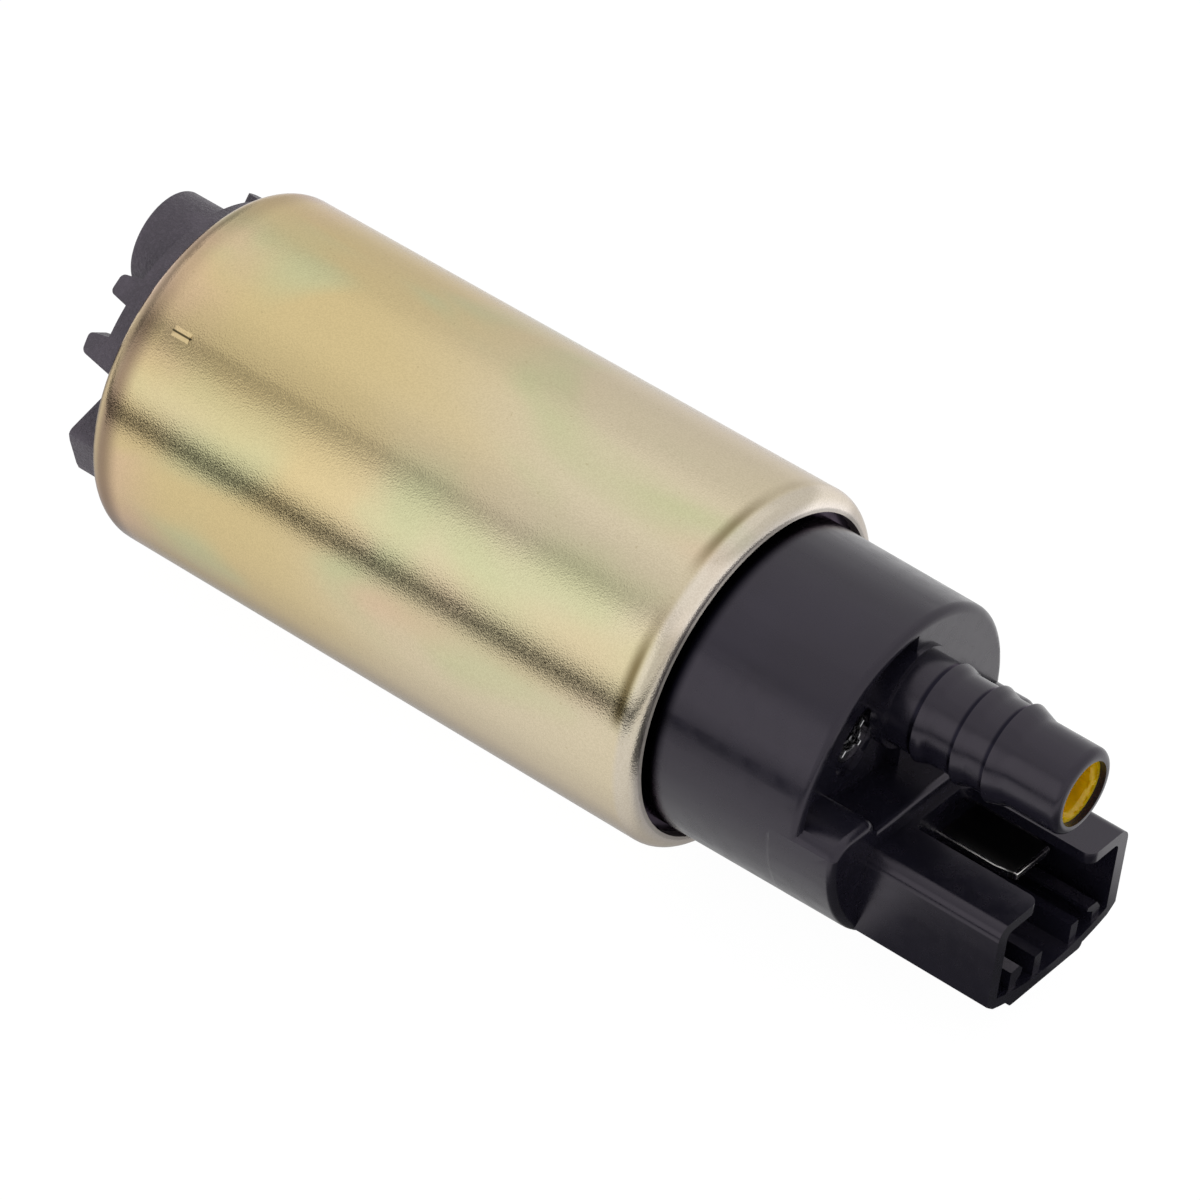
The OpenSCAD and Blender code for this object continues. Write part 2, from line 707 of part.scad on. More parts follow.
// Moulded base of the face commutator, with a collar on the shaft
module commutator_base() {
  color([0.3, 0.2, 0.14]) place() {
    tube(comm_r - 0.4, shaft_r + seat, comm_z0, bar_z0);
    tube(shaft_r + 1.1, shaft_r + seat, bar_z0 - over, comm_z1 - 0.4);
  }
}

// Ring of bars that the brushes run on, parted by narrow slits
module commutator_bars() {
  color([0.2, 0.2, 0.2]) place() translate([0, 0, bar_z0]) linear_extrude(comm_z1 - bar_z0) difference() {
    circle(comm_r);
    circle(shaft_r + 1.4);
    for (i = [0:slot_n - 1]) rotate([0, 0, i * 360 / slot_n])
      translate([0, -slit_w / 2]) square([comm_r + over, slit_w]);
  }
}

// Arc between two radii around an angle, as a flat outline
module arc_outline(r_out, r_in, mid, half) {
  rotate([0, 0, mid - half]) intersection() {
    difference() {
      circle(r_out);
      circle(r_in);
    }
    union() {
      square([r_out, r_out]);
      if (2 * half > 90) rotate([0, 0, 2 * half - 90]) square([r_out, r_out]);
    }
    if (2 * half < 90) rotate([0, 0, 2 * half - 90]) square([r_out, r_out]);
    else circle(r_out + 1);
  }
}

module magnet(mid) {
  color([0.18, 0.18, 0.19]) place() translate([0, 0, magnet_z0 + seat])
    linear_extrude(magnet_z1 - magnet_z0 - 2 * seat) arc_outline(stack_r, magnet_r, mid, magnet_angle / 2);
}

module magnet_left() {
  magnet(180);
}

module magnet_right() {
  magnet(0);
}

// Spring clips: a curved back on the can's wall and two legs that push the magnets apart
module magnet_clips() {
  gap_half = 90 - magnet_angle / 2;
  leg_angle = gap_half - asin(clip_t / 2 / magnet_r) - 0.5;
  color([0.66, 0.67, 0.7]) place() translate([0, 0, magnet_z0 + seat])
    linear_extrude(magnet_z1 - magnet_z0 - 2 * seat) for (mid = [connector_side, nipple_side]) {
      arc_outline(stack_r, stack_r - clip_t, mid, leg_angle);
      for (side = [-1, 1]) rotate([0, 0, mid + side * leg_angle])
        translate([magnet_r + 0.6, -clip_t / 2]) square([stack_r - magnet_r - 0.9, clip_t]);
    }
}

// Brush holder: a ring and plate under the cap, with the outlet bush's hub and two brush guides
module brush_holder() {
  hub_r = bush_r + 0.9;
  outer_x = guide_x + 2 * guide_wall;
  outer_y = guide_y + 2 * guide_wall;
  color([0.16, 0.16, 0.18]) place() difference() {
    union() {
      tube(stack_r, ring_in_r, magnet_z1, cap_z0);
      rod(stack_r, holder_z0, cap_z0);
      rod(hub_r, holder_z0, outlet_bush_z1);
      for (side = [-1, 1]) translate([side * brush_x - outer_x / 2, -outer_y / 2, holder_z0])
        cube([outer_x, outer_y, guide_z1 - holder_z0]);
    }
    rod(bush_r + seat, holder_z0 - over, outlet_bush_z1 + over);
    for (side = [-1, 1]) translate([side * brush_x - guide_x / 2, -guide_y / 2, holder_z0 - over])
      cube([guide_x, guide_y, guide_z1 - holder_z0 + 2 * over]);
    for (mid = [connector_side, nipple_side]) translate([0, 0, holder_z0 - over])
      linear_extrude(holder_t + 2 * over)
        arc_outline(ring_in_r - 0.8, hub_r + 1.2, mid, holder_window_half);
  }
}

module outlet_bush() {
  color([0.62, 0.46, 0.28]) place() tube(bush_r, shaft_r + run_gap, holder_z0, outlet_bush_z1);
}

// Carbon brush, pressed on the commutator by its spring
module brush(side) {
  color([0.13, 0.13, 0.14]) place() translate([side * brush_x - brush_d / 2, -brush_w / 2, brush_z0])
    cube([brush_d, brush_w, brush_l]);
}

module brush_left() {
  brush(-1);
}

module brush_right() {
  brush(1);
}

module brush_spring(side) {
  color([0.8, 0.8, 0.82]) place() translate([side * brush_x, 0, brush_z1 + seat])
    coil_spring("Brush spring", brush_coil_r, brush_wire_r, brush_turns, guide_z1 - brush_z1 - 2 * seat);
}

module brush_spring_left() {
  brush_spring(-1);
}

module brush_spring_right() {
  brush_spring(1);
}

// Stranded lead inside the brush spring, from the brush to the contact plate
module brush_lead(side) {
  color([0.75, 0.45, 0.25]) place() translate([side * brush_x, 0, 0])
    rod(lead_r, brush_z1 + seat, guide_z1 - seat);
}

module brush_lead_left() {
  brush_lead(-1);
}

module brush_lead_right() {
  brush_lead(1);
}

// Contact plates: close the guides and join each brush lead to its choke
module contact_plates() {
  color([0.8, 0.65, 0.3]) place() for (side = [-1, 1])
    translate([0, 0, guide_z1]) linear_extrude(contact_t) {
      translate([side * brush_x - guide_x / 2, -guide_y / 2 - 0.4]) square([guide_x, guide_y + 0.8]);
      translate([side * choke_x, choke_y]) circle(choke_r + 0.4);
      translate([side * choke_x - choke_r, 0]) square([2 * choke_r, choke_y]);
    }
}

module choke_cores() {
  color([0.25, 0.25, 0.27]) place() for (side = [-1, 1])
    translate([side * choke_x, choke_y, 0]) rod(choke_r, foot_z1 + seat, guide_z1 - seat);
}

// Choke windings: turns of thick wire, one against the next, around each ferrite core
module choke_coils() {
  z0 = foot_z1 + seat;
  length = guide_z1 - seat - z0 - 2 * choke_wire_r;
  turns = ceil(length / (2 * choke_wire_r)) + 1;
  pitch = length / (turns - 1);
  color([0.72, 0.4, 0.2]) place() for (side = [-1, 1]) translate([side * choke_x, choke_y, z0]) {
    for (i = [0:turns - 1]) translate([0, 0, choke_wire_r + i * pitch]) rotate_extrude()
      translate([choke_r + seat + choke_wire_r, 0]) circle(choke_wire_r);
    tube(choke_r + 0.9 * choke_wire_r, choke_r + seat, choke_wire_r, choke_wire_r + length);
  }
}

// Terminal: a flat blade through the cap, with a foot that carries the choke
module terminal(side) {
  taper = 0.5;
  foot_x0 = blade_x + 0.5;
  color([0.8, 0.8, 0.78]) place() {
    translate([side * blade_x, blade_y + blade_t / 2, 0]) rotate([90, 0, 0]) linear_extrude(blade_t)
      polygon([
        [-blade_w / 2, foot_z0], [blade_w / 2, foot_z0],
        [blade_w / 2, blade_z1 - 2.3], [blade_w / 2 - taper, blade_z1],
        [-blade_w / 2 + taper, blade_z1], [-blade_w / 2, blade_z1 - 2.3]
      ]);
    translate([0, 0, foot_z0]) linear_extrude(blade_t) {
      translate([side * choke_x, choke_y]) circle(choke_r + 0.5);
      translate([side < 0 ? -choke_x : foot_x0, choke_y - 1]) square([choke_x - foot_x0, blade_y - choke_y + 1]);
    }
  }
}

module terminal_left() {
  terminal(-1);
}

module terminal_right() {
  terminal(1);
}

// Half section of the cap's outer wall up to height z, with the draft and the rounded edge
module cap_section(z) {
  r = cap_r - (z - shoulder_z1) * tan(cap_draft);
  polygon([
    [0, shoulder_z1 - over], [cap_r, shoulder_z1 - over], [r, z - cap_round], [r - cap_round, z], [0, z]
  ]);
  translate([r - cap_round, z - cap_round]) circle(cap_round);
}

// Plan of the high half: everything behind the step wall, and a rounded post at each end of it
module high_plan() {
  front = step_y - post_front;
  translate([-cap_r - 1, step_y]) square([2 * cap_r + 2, cap_r + 1]);
  for (side = [0, 1]) mirror([side, 0]) {
    translate([post_x + post_round, front + post_round]) circle(post_round);
    translate([post_x, front + post_round]) square([post_round + over, post_front + over]);
    translate([post_x + post_round, front]) square([post_sweep_x() - post_x - post_round, post_front + over]);
    translate([post_sweep_x(), front + post_sweep]) circle(post_sweep);
  }
}

// Distance from the axis to the middle of a post's outer rounding
function post_sweep_x() = cap_r - 3;

// Cutter that rounds the top edge of both posts, from the inner corner to the outer one
module post_edges() {
  front = step_y - post_front;
  for (side = [0, 1]) mirror([side, 0, 0]) translate([0, 0, face_z - cap_round]) {
    translate([post_x + post_round, front + post_round, 0]) rotate([0, 0, 180])
      rotate_extrude(angle = 90) edge_cut(post_round);
    translate([post_sweep_x(), front + post_sweep, 0]) rotate([0, 0, 270])
      rotate_extrude(angle = 75) edge_cut(post_sweep);
    translate([post_x + post_round, front + post_sweep, 0]) rotate([90, 0, 90])
      linear_extrude(post_sweep_x() - post_x - post_round) mirror([1, 0]) edge_cut(post_sweep);
  }
}

// Section of a cutter that rounds an outer edge at the radius r
module edge_cut(r) {
  difference() {
    translate([r - cap_round, 0]) square([cap_round + over, cap_round + over]);
    translate([r - cap_round, 0]) circle(cap_round);
  }
}

// Half section of the barbed nipple, from the recess floor to the tip
module nipple_section() {
  tip_round = 0.85;
  crests = [first_crest, first_crest + upper_pitch, first_crest + upper_pitch + lower_pitch];
  translate([0, floor_z - over]) square([root_r, rim_z + root_h - floor_z + over]);
  translate([0, floor_z]) square([stalk_r, tip_z - crests[2] - floor_z]);
  translate([0, floor_z]) square([valley_r, tip_z - first_crest - floor_z]);
  disc_section(neck_r, tip_z - first_crest - over, tip_z, 0, tip_round);
  for (drop = crests) translate([0, tip_z - drop])
    polygon([[0, slope_l], [neck_r, slope_l], [barb_r, 0], [barb_r, -0.12], [0, -0.12]]);
}

// Plan of the connector box, shrunk by the given wall thicknesses
module socket_plan(side, lip, bow) {
  corner = corner_round - side / 2;
  intersection() {
    round_rect(-socket_w / 2 + side, socket_y + lip, socket_w / 2 - side, cap_r + 4, corner);
    translate([0, bow_y]) circle(bow_r - bow);
    circle(cap_r - corner_inset - bow);
  }
}

// Cutter for the slot between the lips: round at its root, flared at its open end
module lip_slot() {
  half = slot_w / 2;
  translate([0, socket_y + lip_t + over, 0]) rotate([90, 0, 0]) linear_extrude(lip_t + 2 * over) {
    round_rect(-half, slot_z0, half, socket_z1 + 3, slot_round);
    difference() {
      translate([-half - slot_round, socket_z1 - slot_round]) square([slot_w + 2 * slot_round, 3]);
      for (side = [-1, 1]) translate([side * (half + slot_round), socket_z1 - slot_round]) circle(slot_round);
    }
  }
}

// Ribs inside the connector: two plain ones, and two whose inner flank is undercut
module key_ribs() {
  y0 = socket_depth - bow_t - key_h;
  key_z1 = socket_z1 - 0.3;
  plain_ribs = [[1.9, 0.5], [-3.85, 0.3]];
  nook_x = -7.3;
  wall_y = socket_depth;
  translate([0, 0, face_z - over]) linear_extrude(key_z1 - face_z + over) intersection() {
    union() {
      for (rib = plain_ribs) translate([rib[0] - key_t / 2, y0 + rib[1]]) square([key_t, wall_y - y0]);
      polygon([[6.4, wall_y], [6.4, y0], [5.1, y0 - 0.1], [4.5, y0 + 0.5], [4.6, y0 + 1.2],
        [5.3, y0 + 1.8], [4.8, wall_y]]);
      polygon([[-8, wall_y], [-8, y0 + 0.8], [nook_x, y0 - 0.1], [-5.8, y0 - 0.2], [-5.8, y0 + 0.2],
        [-6.8, y0 + 0.8], [-6.8, wall_y]]);
    }
    socket_plan(side_t / 2, lip_t / 2, bow_t / 2);
  }
}

// Connector box with its slot and ribs
module connector() {
  difference() {
    union() {
      translate([0, 0, face_z - over]) linear_extrude(socket_z1 - face_z + over) socket_plan(0, 0, 0);
      latch_pad();
    }
    translate([0, 0, face_z]) linear_extrude(socket_z1 - face_z + over) socket_plan(side_t, lip_t, bow_t);
    lip_slot();
  }
  key_ribs();
}

// Flat pad on the outside of the bowed wall, where the plug's latch rides
module latch_pad() {
  translate([0, 0, face_z - over]) linear_extrude(socket_z1 - latch_drop - face_z + over)
    round_rect(-latch_w / 2, socket_depth - 2 * bow_t, latch_w / 2, socket_depth + latch_t, latch_t);
}

// Recess inside the low rim, on the relief valve's side only
module recess() {
  translate([0, 0, floor_z]) linear_extrude(recess_depth + over) difference() {
    intersection() {
      circle(cap_r - rim_w);
      translate([0.3, -cap_r]) square([cap_r, cap_r + step_y]);
    }
    translate([0, -nipple_y]) circle(root_r - 0.2);
    high_plan();
  }
}

// Chamber inside the cap, taller under the connector
module chamber() {
  rod(chamber_r, cap_z0 - over, roof_z);
  translate([0, 0, roof_z - over]) linear_extrude(face_z - 2.6 - roof_z + over) intersection() {
    circle(chamber_r - 0.5);
    translate([-chamber_r, step_y + 2]) square([2 * chamber_r, chamber_r]);
  }
}

// Bores of the outlet: the check valve's room, its seat and the way up from the chamber
module outlet_bores() {
  translate([0, -nipple_y, 0]) {
    rod(nipple_bore_r, valve_seat_z, tip_z + over);
    rod(seat_r, roof_z - over, valve_seat_z + over);
  }
}

// Bores of the relief valve: the hole under the ball, the ball's room and the sunk pocket
module relief_bores() {
  translate([relief_x, -relief_y, 0]) {
    rod(relief_hole_r, relief_seat_z - 3, relief_seat_z + over);
    rod(relief_bore_r, relief_seat_z, floor_z + over);
  }
  translate([0, 0, floor_z - 0.6]) linear_extrude(over + 0.6) {
    translate([relief_x - 1, -relief_y - 1.3]) circle(relief_bore_r - 0.2);
    translate([relief_x + 0.7, -relief_y + 1.2]) circle(relief_bore_r - 0.2);
  }
}

// Outlet cap: shoulder, two-level end face, barbed nipple and connector in one moulding
module outlet_cap() {
  color([0.11, 0.1, 0.12]) place() difference() {
    union() {
      rotate_extrude() disc_section(stack_r, cap_z0, shoulder_z1, 0, roll_r - can_wall);
      difference() {
        rotate_extrude() cap_section(rim_z);
        recess();
      }
      intersection() {
        rotate_extrude() cap_section(face_z);
        difference() {
          translate([0, 0, rim_z - 3]) linear_extrude(step_h + 4) high_plan();
          post_edges();
        }
      }
      translate([0, -nipple_y, 0]) rotate_extrude() nipple_section();
      connector();
    }
    chamber_with_tube();
    outlet_bores();
    relief_bores();
    ridge_round();
    seal_groove();
    for (side = [-1, 1]) translate([side * blade_x - blade_w / 2, blade_y - blade_t / 2, roof_z])
      cube([blade_w, blade_t, blade_z1 - roof_z]);
  }
}

// Chamber, less the tube that hangs from its roof around the relief valve
module chamber_with_tube() {
  difference() {
    chamber();
    translate([relief_x, -relief_y, 0]) rod(relief_bore_r + 1.2, relief_seat_z - 1.5, roof_z + over);
  }
}

// Cutter that rounds the top edge of the step wall
module ridge_round() {
  edge = 0.6;
  half = post_x - 0.2;
  translate([-half, step_y, face_z - edge]) difference() {
    translate([0, -over, 0]) cube([2 * half, edge + over, edge + over]);
    translate([-over, edge, 0]) rotate([0, 90, 0]) cylinder(r = edge, h = 2 * half + 2 * over);
  }
}

// Groove around the shoulder for the seal ring
module seal_groove() {
  tube(stack_r + over, stack_r - 2 * seal_r, seal_groove_z - seal_r - fit, seal_groove_z + seal_r + fit);
}

module seal_ring() {
  color([0.1, 0.1, 0.1]) place() translate([0, 0, seal_groove_z])
    rotate_extrude() translate([stack_r - seal_r, 0]) circle(seal_r);
}

// Check valve: head and guided stem
module check_valve() {
  color([0.8, 0.78, 0.7]) place() translate([0, -nipple_y, 0]) {
    rod(poppet_r, head_z0, head_z1);
    rod(stem_r, head_z1 - over, stem_z1);
    rod(stem_r + 0.3, seal_z0, head_z0 + over);
  }
}

module valve_seal() {
  color([0.1, 0.1, 0.1]) place() translate([0, -nipple_y, 0])
    tube(poppet_r, stem_r + 0.3 + seat, seal_z0, head_z0);
}

module check_valve_spring() {
  color([0.8, 0.8, 0.82]) place() translate([0, -nipple_y, head_z1 + seat])
    coil_spring("Check valve spring", valve_coil_r, valve_wire_r, valve_turns,
      sleeve_z0 - head_z1 - 2 * seat);
}

// Yellow sleeve: holds the spring and guides the check valve's stem
module valve_sleeve() {
  hub_r = valve_coil_r + 0.2;
  color([0.9, 0.75, 0.08]) place() translate([0, -nipple_y, 0]) difference() {
    union() {
      tube(nipple_bore_r - seat, sleeve_bore_r, sleeve_z0, sleeve_z1);
      rod(hub_r, sleeve_z0, sleeve_z0 + spider_t);
      for (i = [0:2]) rotate([0, 0, 30 + i * 120]) translate([0, -0.5, sleeve_z0])
        cube([sleeve_bore_r + 0.3, 1, spider_t]);
    }
    rod(stem_r + 0.05, sleeve_z0 - over, sleeve_z0 + spider_t + over);
    translate([0, 0, sleeve_z1 - 0.55]) cylinder(r1 = sleeve_bore_r, r2 = sleeve_mouth_r, h = 0.56);
  }
}

module relief_ball() {
  color([0.8, 0.8, 0.82]) place() translate([relief_x, -relief_y, ball_z]) sphere(ball_r);
}

module relief_spring() {
  color([0.8, 0.8, 0.82]) place() translate([relief_x, -relief_y, relief_spring_z0])
    coil_spring("Relief spring", relief_coil_r, relief_wire_r, relief_turns,
      retainer_z0 - relief_spring_z0 - seat);
}

// Pressed ring with notches that holds the relief spring and lets fuel out
module relief_retainer() {
  color([0.75, 0.75, 0.74]) place() translate([relief_x, -relief_y, retainer_z0]) linear_extrude(retainer_t)
    difference() {
      circle(relief_bore_r - seat);
      circle(relief_bore_r - 1.2);
      for (i = [0:3]) rotate([0, 0, 45 + i * 90]) translate([0, -0.3]) square([relief_bore_r - 0.5, 0.6]);
    }
}

can();
inlet_cover();
thrust_button();
impeller();
pump_casing();
inlet_bush();
shaft();
thrust_washer();
armature_core();
core_insulators();
windings();
commutator_base();
commutator_bars();
magnet_left();
magnet_right();
magnet_clips();
brush_holder();
outlet_bush();
brush_left();
brush_right();
brush_spring_left();
brush_spring_right();
brush_lead_left();
brush_lead_right();
contact_plates();
choke_cores();
choke_coils();
terminal_left();
terminal_right();
outlet_cap();
seal_ring();
check_valve();
valve_seal();
check_valve_spring();
valve_sleeve();
relief_ball();
relief_spring();
relief_retainer();
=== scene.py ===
"""Dresses the in-tank fuel pump: finishes for every piece, round wire coils, and the studio around it."""

import math

import bpy
from bpy.props import FloatProperty, FloatVectorProperty, IntProperty, PointerProperty
from mathutils import Matrix, Vector


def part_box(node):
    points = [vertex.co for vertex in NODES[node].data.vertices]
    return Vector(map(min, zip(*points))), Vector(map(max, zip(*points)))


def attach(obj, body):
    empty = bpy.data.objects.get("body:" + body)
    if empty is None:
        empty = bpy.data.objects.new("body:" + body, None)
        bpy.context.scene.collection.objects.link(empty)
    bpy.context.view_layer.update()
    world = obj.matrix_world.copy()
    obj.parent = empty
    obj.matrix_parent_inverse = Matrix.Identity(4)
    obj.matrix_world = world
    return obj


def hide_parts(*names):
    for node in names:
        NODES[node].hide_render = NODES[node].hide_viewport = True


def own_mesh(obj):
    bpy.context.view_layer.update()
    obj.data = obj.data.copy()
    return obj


bl_info = {
    "name": "Fuel Pump Dresser",
    "version": (1, 0, 0),
    "blender": (4, 5, 0),
    "location": "3D View > Sidebar > Fuel Pump",
    "description": "Finishes, coils and studio for an in-tank electric fuel pump",
    "category": "Object",
}

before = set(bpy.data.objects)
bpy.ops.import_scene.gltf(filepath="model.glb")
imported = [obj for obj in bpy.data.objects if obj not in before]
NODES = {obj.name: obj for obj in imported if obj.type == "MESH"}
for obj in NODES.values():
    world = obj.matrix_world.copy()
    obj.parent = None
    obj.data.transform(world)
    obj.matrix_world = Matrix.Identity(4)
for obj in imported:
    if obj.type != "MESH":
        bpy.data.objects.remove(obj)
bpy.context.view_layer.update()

MM = 0.001
CAN_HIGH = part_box("can")[1]

# Places on the part that a finish follows, all in mm.
# The can's rim is its outer radius, and its end how far it reaches along the axis from the middle
CAN_RIM = CAN_HIGH.z / MM
CAN_END = CAN_HIGH.x / MM
# The chromate changes tone between these distances from the middle, and is warmer before WARM_END
FILM_END = 34
WARM_END = -22
# Turn of the stake mark about the pump's axis, and its two ends along the axis
STAKE_TURN = math.radians(46)
STAKE_ENDS = (-28.4, -26.2)
# Height of the nipple's axis, how far its barbs reach around it, and where they have their crests
NIPPLE_Z = 7.8
NIPPLE_REACH = 5.4
BARB_CRESTS = (62.42, 58.82, 54.37)
# Distance of each terminal blade's middle from the mid plane, and half its width
BLADE_MIDDLE = 5.0
BLADE_HALF = 3.15

# Before edges are rounded, points this close (in metres) and faces this near to flat are joined. An edge is
# rounded where its faces turn by more than SHARP
SAME_POINT = 1e-7
FLAT = math.radians(0.5)
SHARP = math.radians(35)

# Rings of points in each turn of a coil
COIL_STEPS = 40
# Coils: CAD node, wire radius in mm, turns, the joint that squeezes them, its travel in mm, finish, slot
COILS = {
    "check_valve_coil": ("check_valve_spring", 0.22, 5, "check_valve_lift", 1.8, "wire", "spring_steel"),
    "relief_coil": ("relief_spring", 0.25, 4, "relief_valve_lift", 0.8, "wire", "spring_steel"),
    "brush_coil_left": ("brush_spring_left", 0.25, 5, "brush_left_slide", 2.5, "wire", "spring_steel"),
    "brush_strand_left": ("brush_lead_left", 0.24, 6, "brush_left_slide", 2.5, "strand", "copper_wire"),
    "brush_coil_right": ("brush_spring_right", 0.25, 5, "brush_right_slide", 2.5, "wire", "spring_steel"),
    "brush_strand_right": ("brush_lead_right", 0.24, 6, "brush_right_slide", 2.5, "strand", "copper_wire"),
}

# Directions of the picture's right and top, as the camera was fitted to the photo
CAMERA_RIGHT = Vector((0.77728, 0.62156, 0.09763))
CAMERA_UP = Vector((-0.45132, 0.44272, 0.77483))

# Softboxes that face the pump's middle: place, size in metres, and the setting that holds the power
SOFTBOXES = {
    "front_softbox": ((-0.25, -0.60, 0.24), (1.4, 0.44), "front_lamp"),
    "top_softbox": ((-0.1, 0.25, 0.8), (1.4, 0.8), "top_lamp"),
}

# Fade of a board that is equally dark from end to end
EVEN = ((0.0, 1.0), (1.0, 1.0))
# Dark boards that only gloss shows: a corner and two sides in metres, then how dark the board is along its
# second side (across) and its first (fade), each as pairs of a place from 0 to 1 and a share
BOARDS = {
    # Dark band along the can's lower flank
    "low_board": dict(
        corner=(-0.9, -0.0765, -0.0190), first=(1.7, 0, 0), second=(0, 0, 0.0192),
        across=((0.0, 0.0), (0.50, 1.0), (0.90, 1.0), (1.0, 0.0)), fade=EVEN,
    ),
    # Dark band along the can's upper flank, fainter towards the outlet
    "high_board": dict(
        corner=(-0.60, -0.2511, 0.1784), first=(0.9, 0, 0), second=(0, 0.0740, 0.0714),
        across=((0.0, 0.0), (0.5, 1.0), (1.0, 0.0)),
        fade=((0.0, 0.66), (0.47, 0.66), (0.56, 0.24), (1.0, 0.20)),
    ),
    # Shade of the pump on the floor beneath it
    "under_board": dict(
        corner=(-0.9, -0.040, -0.0187), first=(1.7, 0, 0), second=(0, 0.045, 0),
        across=((0.0, 0.0), (0.28, 0.04), (0.47, 0.15), (0.62, 0.40), (1.0, 0.6)), fade=EVEN,
    ),
    # Shade on the floor under the connector
    "end_board": dict(
        corner=(0.050, -0.030, -0.0186), first=(0, 0.056, 0), second=(0.060, 0, 0),
        across=((0.0, 0.0), (0.06, 1.0), (0.8, 1.0), (1.0, 0.0)),
        fade=((0.0, 0.0), (0.1, 0.85), (0.75, 0.85), (1.0, 0.0)),
    ),
    # Softer tone between the two bands, near the inlet
    "side_board": dict(
        corner=(-0.60, -0.293, 0.062), first=(0.6, 0, 0), second=(0, 0.077, 0.146),
        across=((0.0, 0.0), (0.5, 0.45), (0.85, 1.0), (1.0, 0.0)),
        fade=((0.0, 0.45), (0.69, 0.45), (0.81, 0.0), (1.0, 0.0)),
    ),
    # Darker surroundings beyond the inlet
    "inlet_board": dict(
        corner=(-0.30, -0.32, -0.0187), first=(0, 0.66, 0), second=(0, 0, 0.35),
        across=((0.0, 0.35), (0.25, 0.6), (0.50, 1.0), (0.75, 0.9), (1.0, 0.0)),
        fade=((0.0, 0.0), (0.15, 0.45), (0.85, 0.45), (1.0, 0.0)),
    ),
}


# Short forms of the properties that the settings are made of


def colour(name, text, value):
    return FloatVectorProperty(
        name=name, description=text, subtype="COLOR", size=3, min=0, max=1, default=value
    )


def length(name, text, value):
    return FloatProperty(
        name=name, description=text, subtype="DISTANCE", unit="LENGTH", min=0, default=value
    )


def amount(name, text, value):
    return FloatProperty(name=name, description=text, min=0, default=value)


def power(name, text, value):
    return FloatProperty(name=name, description=text, unit="POWER", min=0, default=value)


class FuelPumpFinish(bpy.types.PropertyGroup):
    """Colours and small sizes of the pump's finishes"""

    can_gold: colour("Can gold", "Deeper gold of the film, towards the inlet", (0.635, 0.505, 0.260))
    can_straw: colour("Can straw", "Paler straw of the film, towards the outlet", (0.654, 0.566, 0.400))
    can_green: colour("Can green", "Greenish clouds of the film", (0.545, 0.550, 0.320))
    can_rose: colour("Can rose", "Pink clouds of the film", (0.670, 0.470, 0.320))
    # Painted dark reflection: the brown line where the outlet roll starts
    can_roll_shade: colour("Can stain", "Brown line where the outlet roll starts", (0.15, 0.110, 0.045))
    can_lip: colour("Can lip", "Pale zinc at the rolled ends", (0.86, 0.79, 0.72))
    cover_grey: colour("Cover grey", "Dark grey glass-filled moulding", (0.082, 0.068, 0.088))
    cap_black: colour("Cap black", "Black moulding of the outlet cap", (0.0095, 0.0088, 0.0155))
    sleeve_yellow: colour("Sleeve yellow", "Moulded sleeve in the outlet nipple", (0.95, 0.60, 0.004))
    tin: colour("Tin", "Tinned brass of the terminals", (0.50, 0.49, 0.48))
    steel: colour("Steel", "Bright steel of springs and shaft", (0.62, 0.62, 0.63))
    copper: colour("Copper", "Enamelled copper wire", (0.72, 0.27, 0.09))
    grain: length("Grain", "Size of the can's fine grain", 0.18 * MM)
    cap_edge: length("Cap edge", "Rounding of the cap's edges", 0.22 * MM)
    cover_edge: length("Cover edge", "Rounding of the inlet cover's edges", 0.20 * MM)
    blade_edge: length("Blade edge", "Rounding of the terminals' edges", 0.14 * MM)
    trim_edge: length("Trim edge", "Rounding of the sleeve and the retainer", 0.08 * MM)
    valve_edge: length("Valve edge", "Rounding of the check valve's edges", 0.05 * MM)
    wire_sides: IntProperty(
        name="Wire sides", description="Faces around a coil's wire", default=12, min=6, max=32
    )


class FuelPumpStudio(bpy.types.PropertyGroup):
    """Camera, floor and lamps"""

    lens: FloatProperty(name="Lens", description="Focal length of the camera in mm", default=195.63, min=10)
    camera_place: FloatVectorProperty(
        name="Camera place", description="Where the camera stands", subtype="XYZ", unit="LENGTH",
        size=3, default=(0.28652, -0.40010, 0.38500)
    )
    floor_size: length("Floor size", "Side of the pale floor", 6.0)
    floor_white: amount("Floor white", "Share of plain white in the floor", 0.90)
    floor_gloss: amount("Floor in gloss", "The same share, as gloss shows the floor", 0.95)
    floor_glow: amount("Floor glow", "Strength of the plain white in the floor", 1.08)
    fill: amount("Fill", "Strength of the light from all around", 0.55)
    sky_gloss: amount("Sky in gloss", "Share of full white, as gloss shows the sky", 0.82)
    front_lamp: power("Front lamp", "Power of the front softbox", 0.66)
    top_lamp: power("Top lamp", "Power of the top softbox", 0.5)


def add_mesh(name, points, faces):
    """New object in the scene with this mesh"""
    mesh = bpy.data.meshes.new(name)
    mesh.from_pydata(points, [], faces)
    piece = bpy.data.objects.new(name, mesh)
    bpy.context.scene.collection.objects.link(piece)
    return piece


# Nodes of a finish


def maths_node(tree, kind, a, b=0.0):
    """Result of one operation on sockets or numbers"""
    node = tree.nodes.new("ShaderNodeMath")
    node.operation = kind
    for socket, value in zip(node.inputs, (a, b)):
        if isinstance(value, (int, float)):
            socket.default_value = value
        else:
            tree.links.new(value, socket)
    return node.outputs[0]


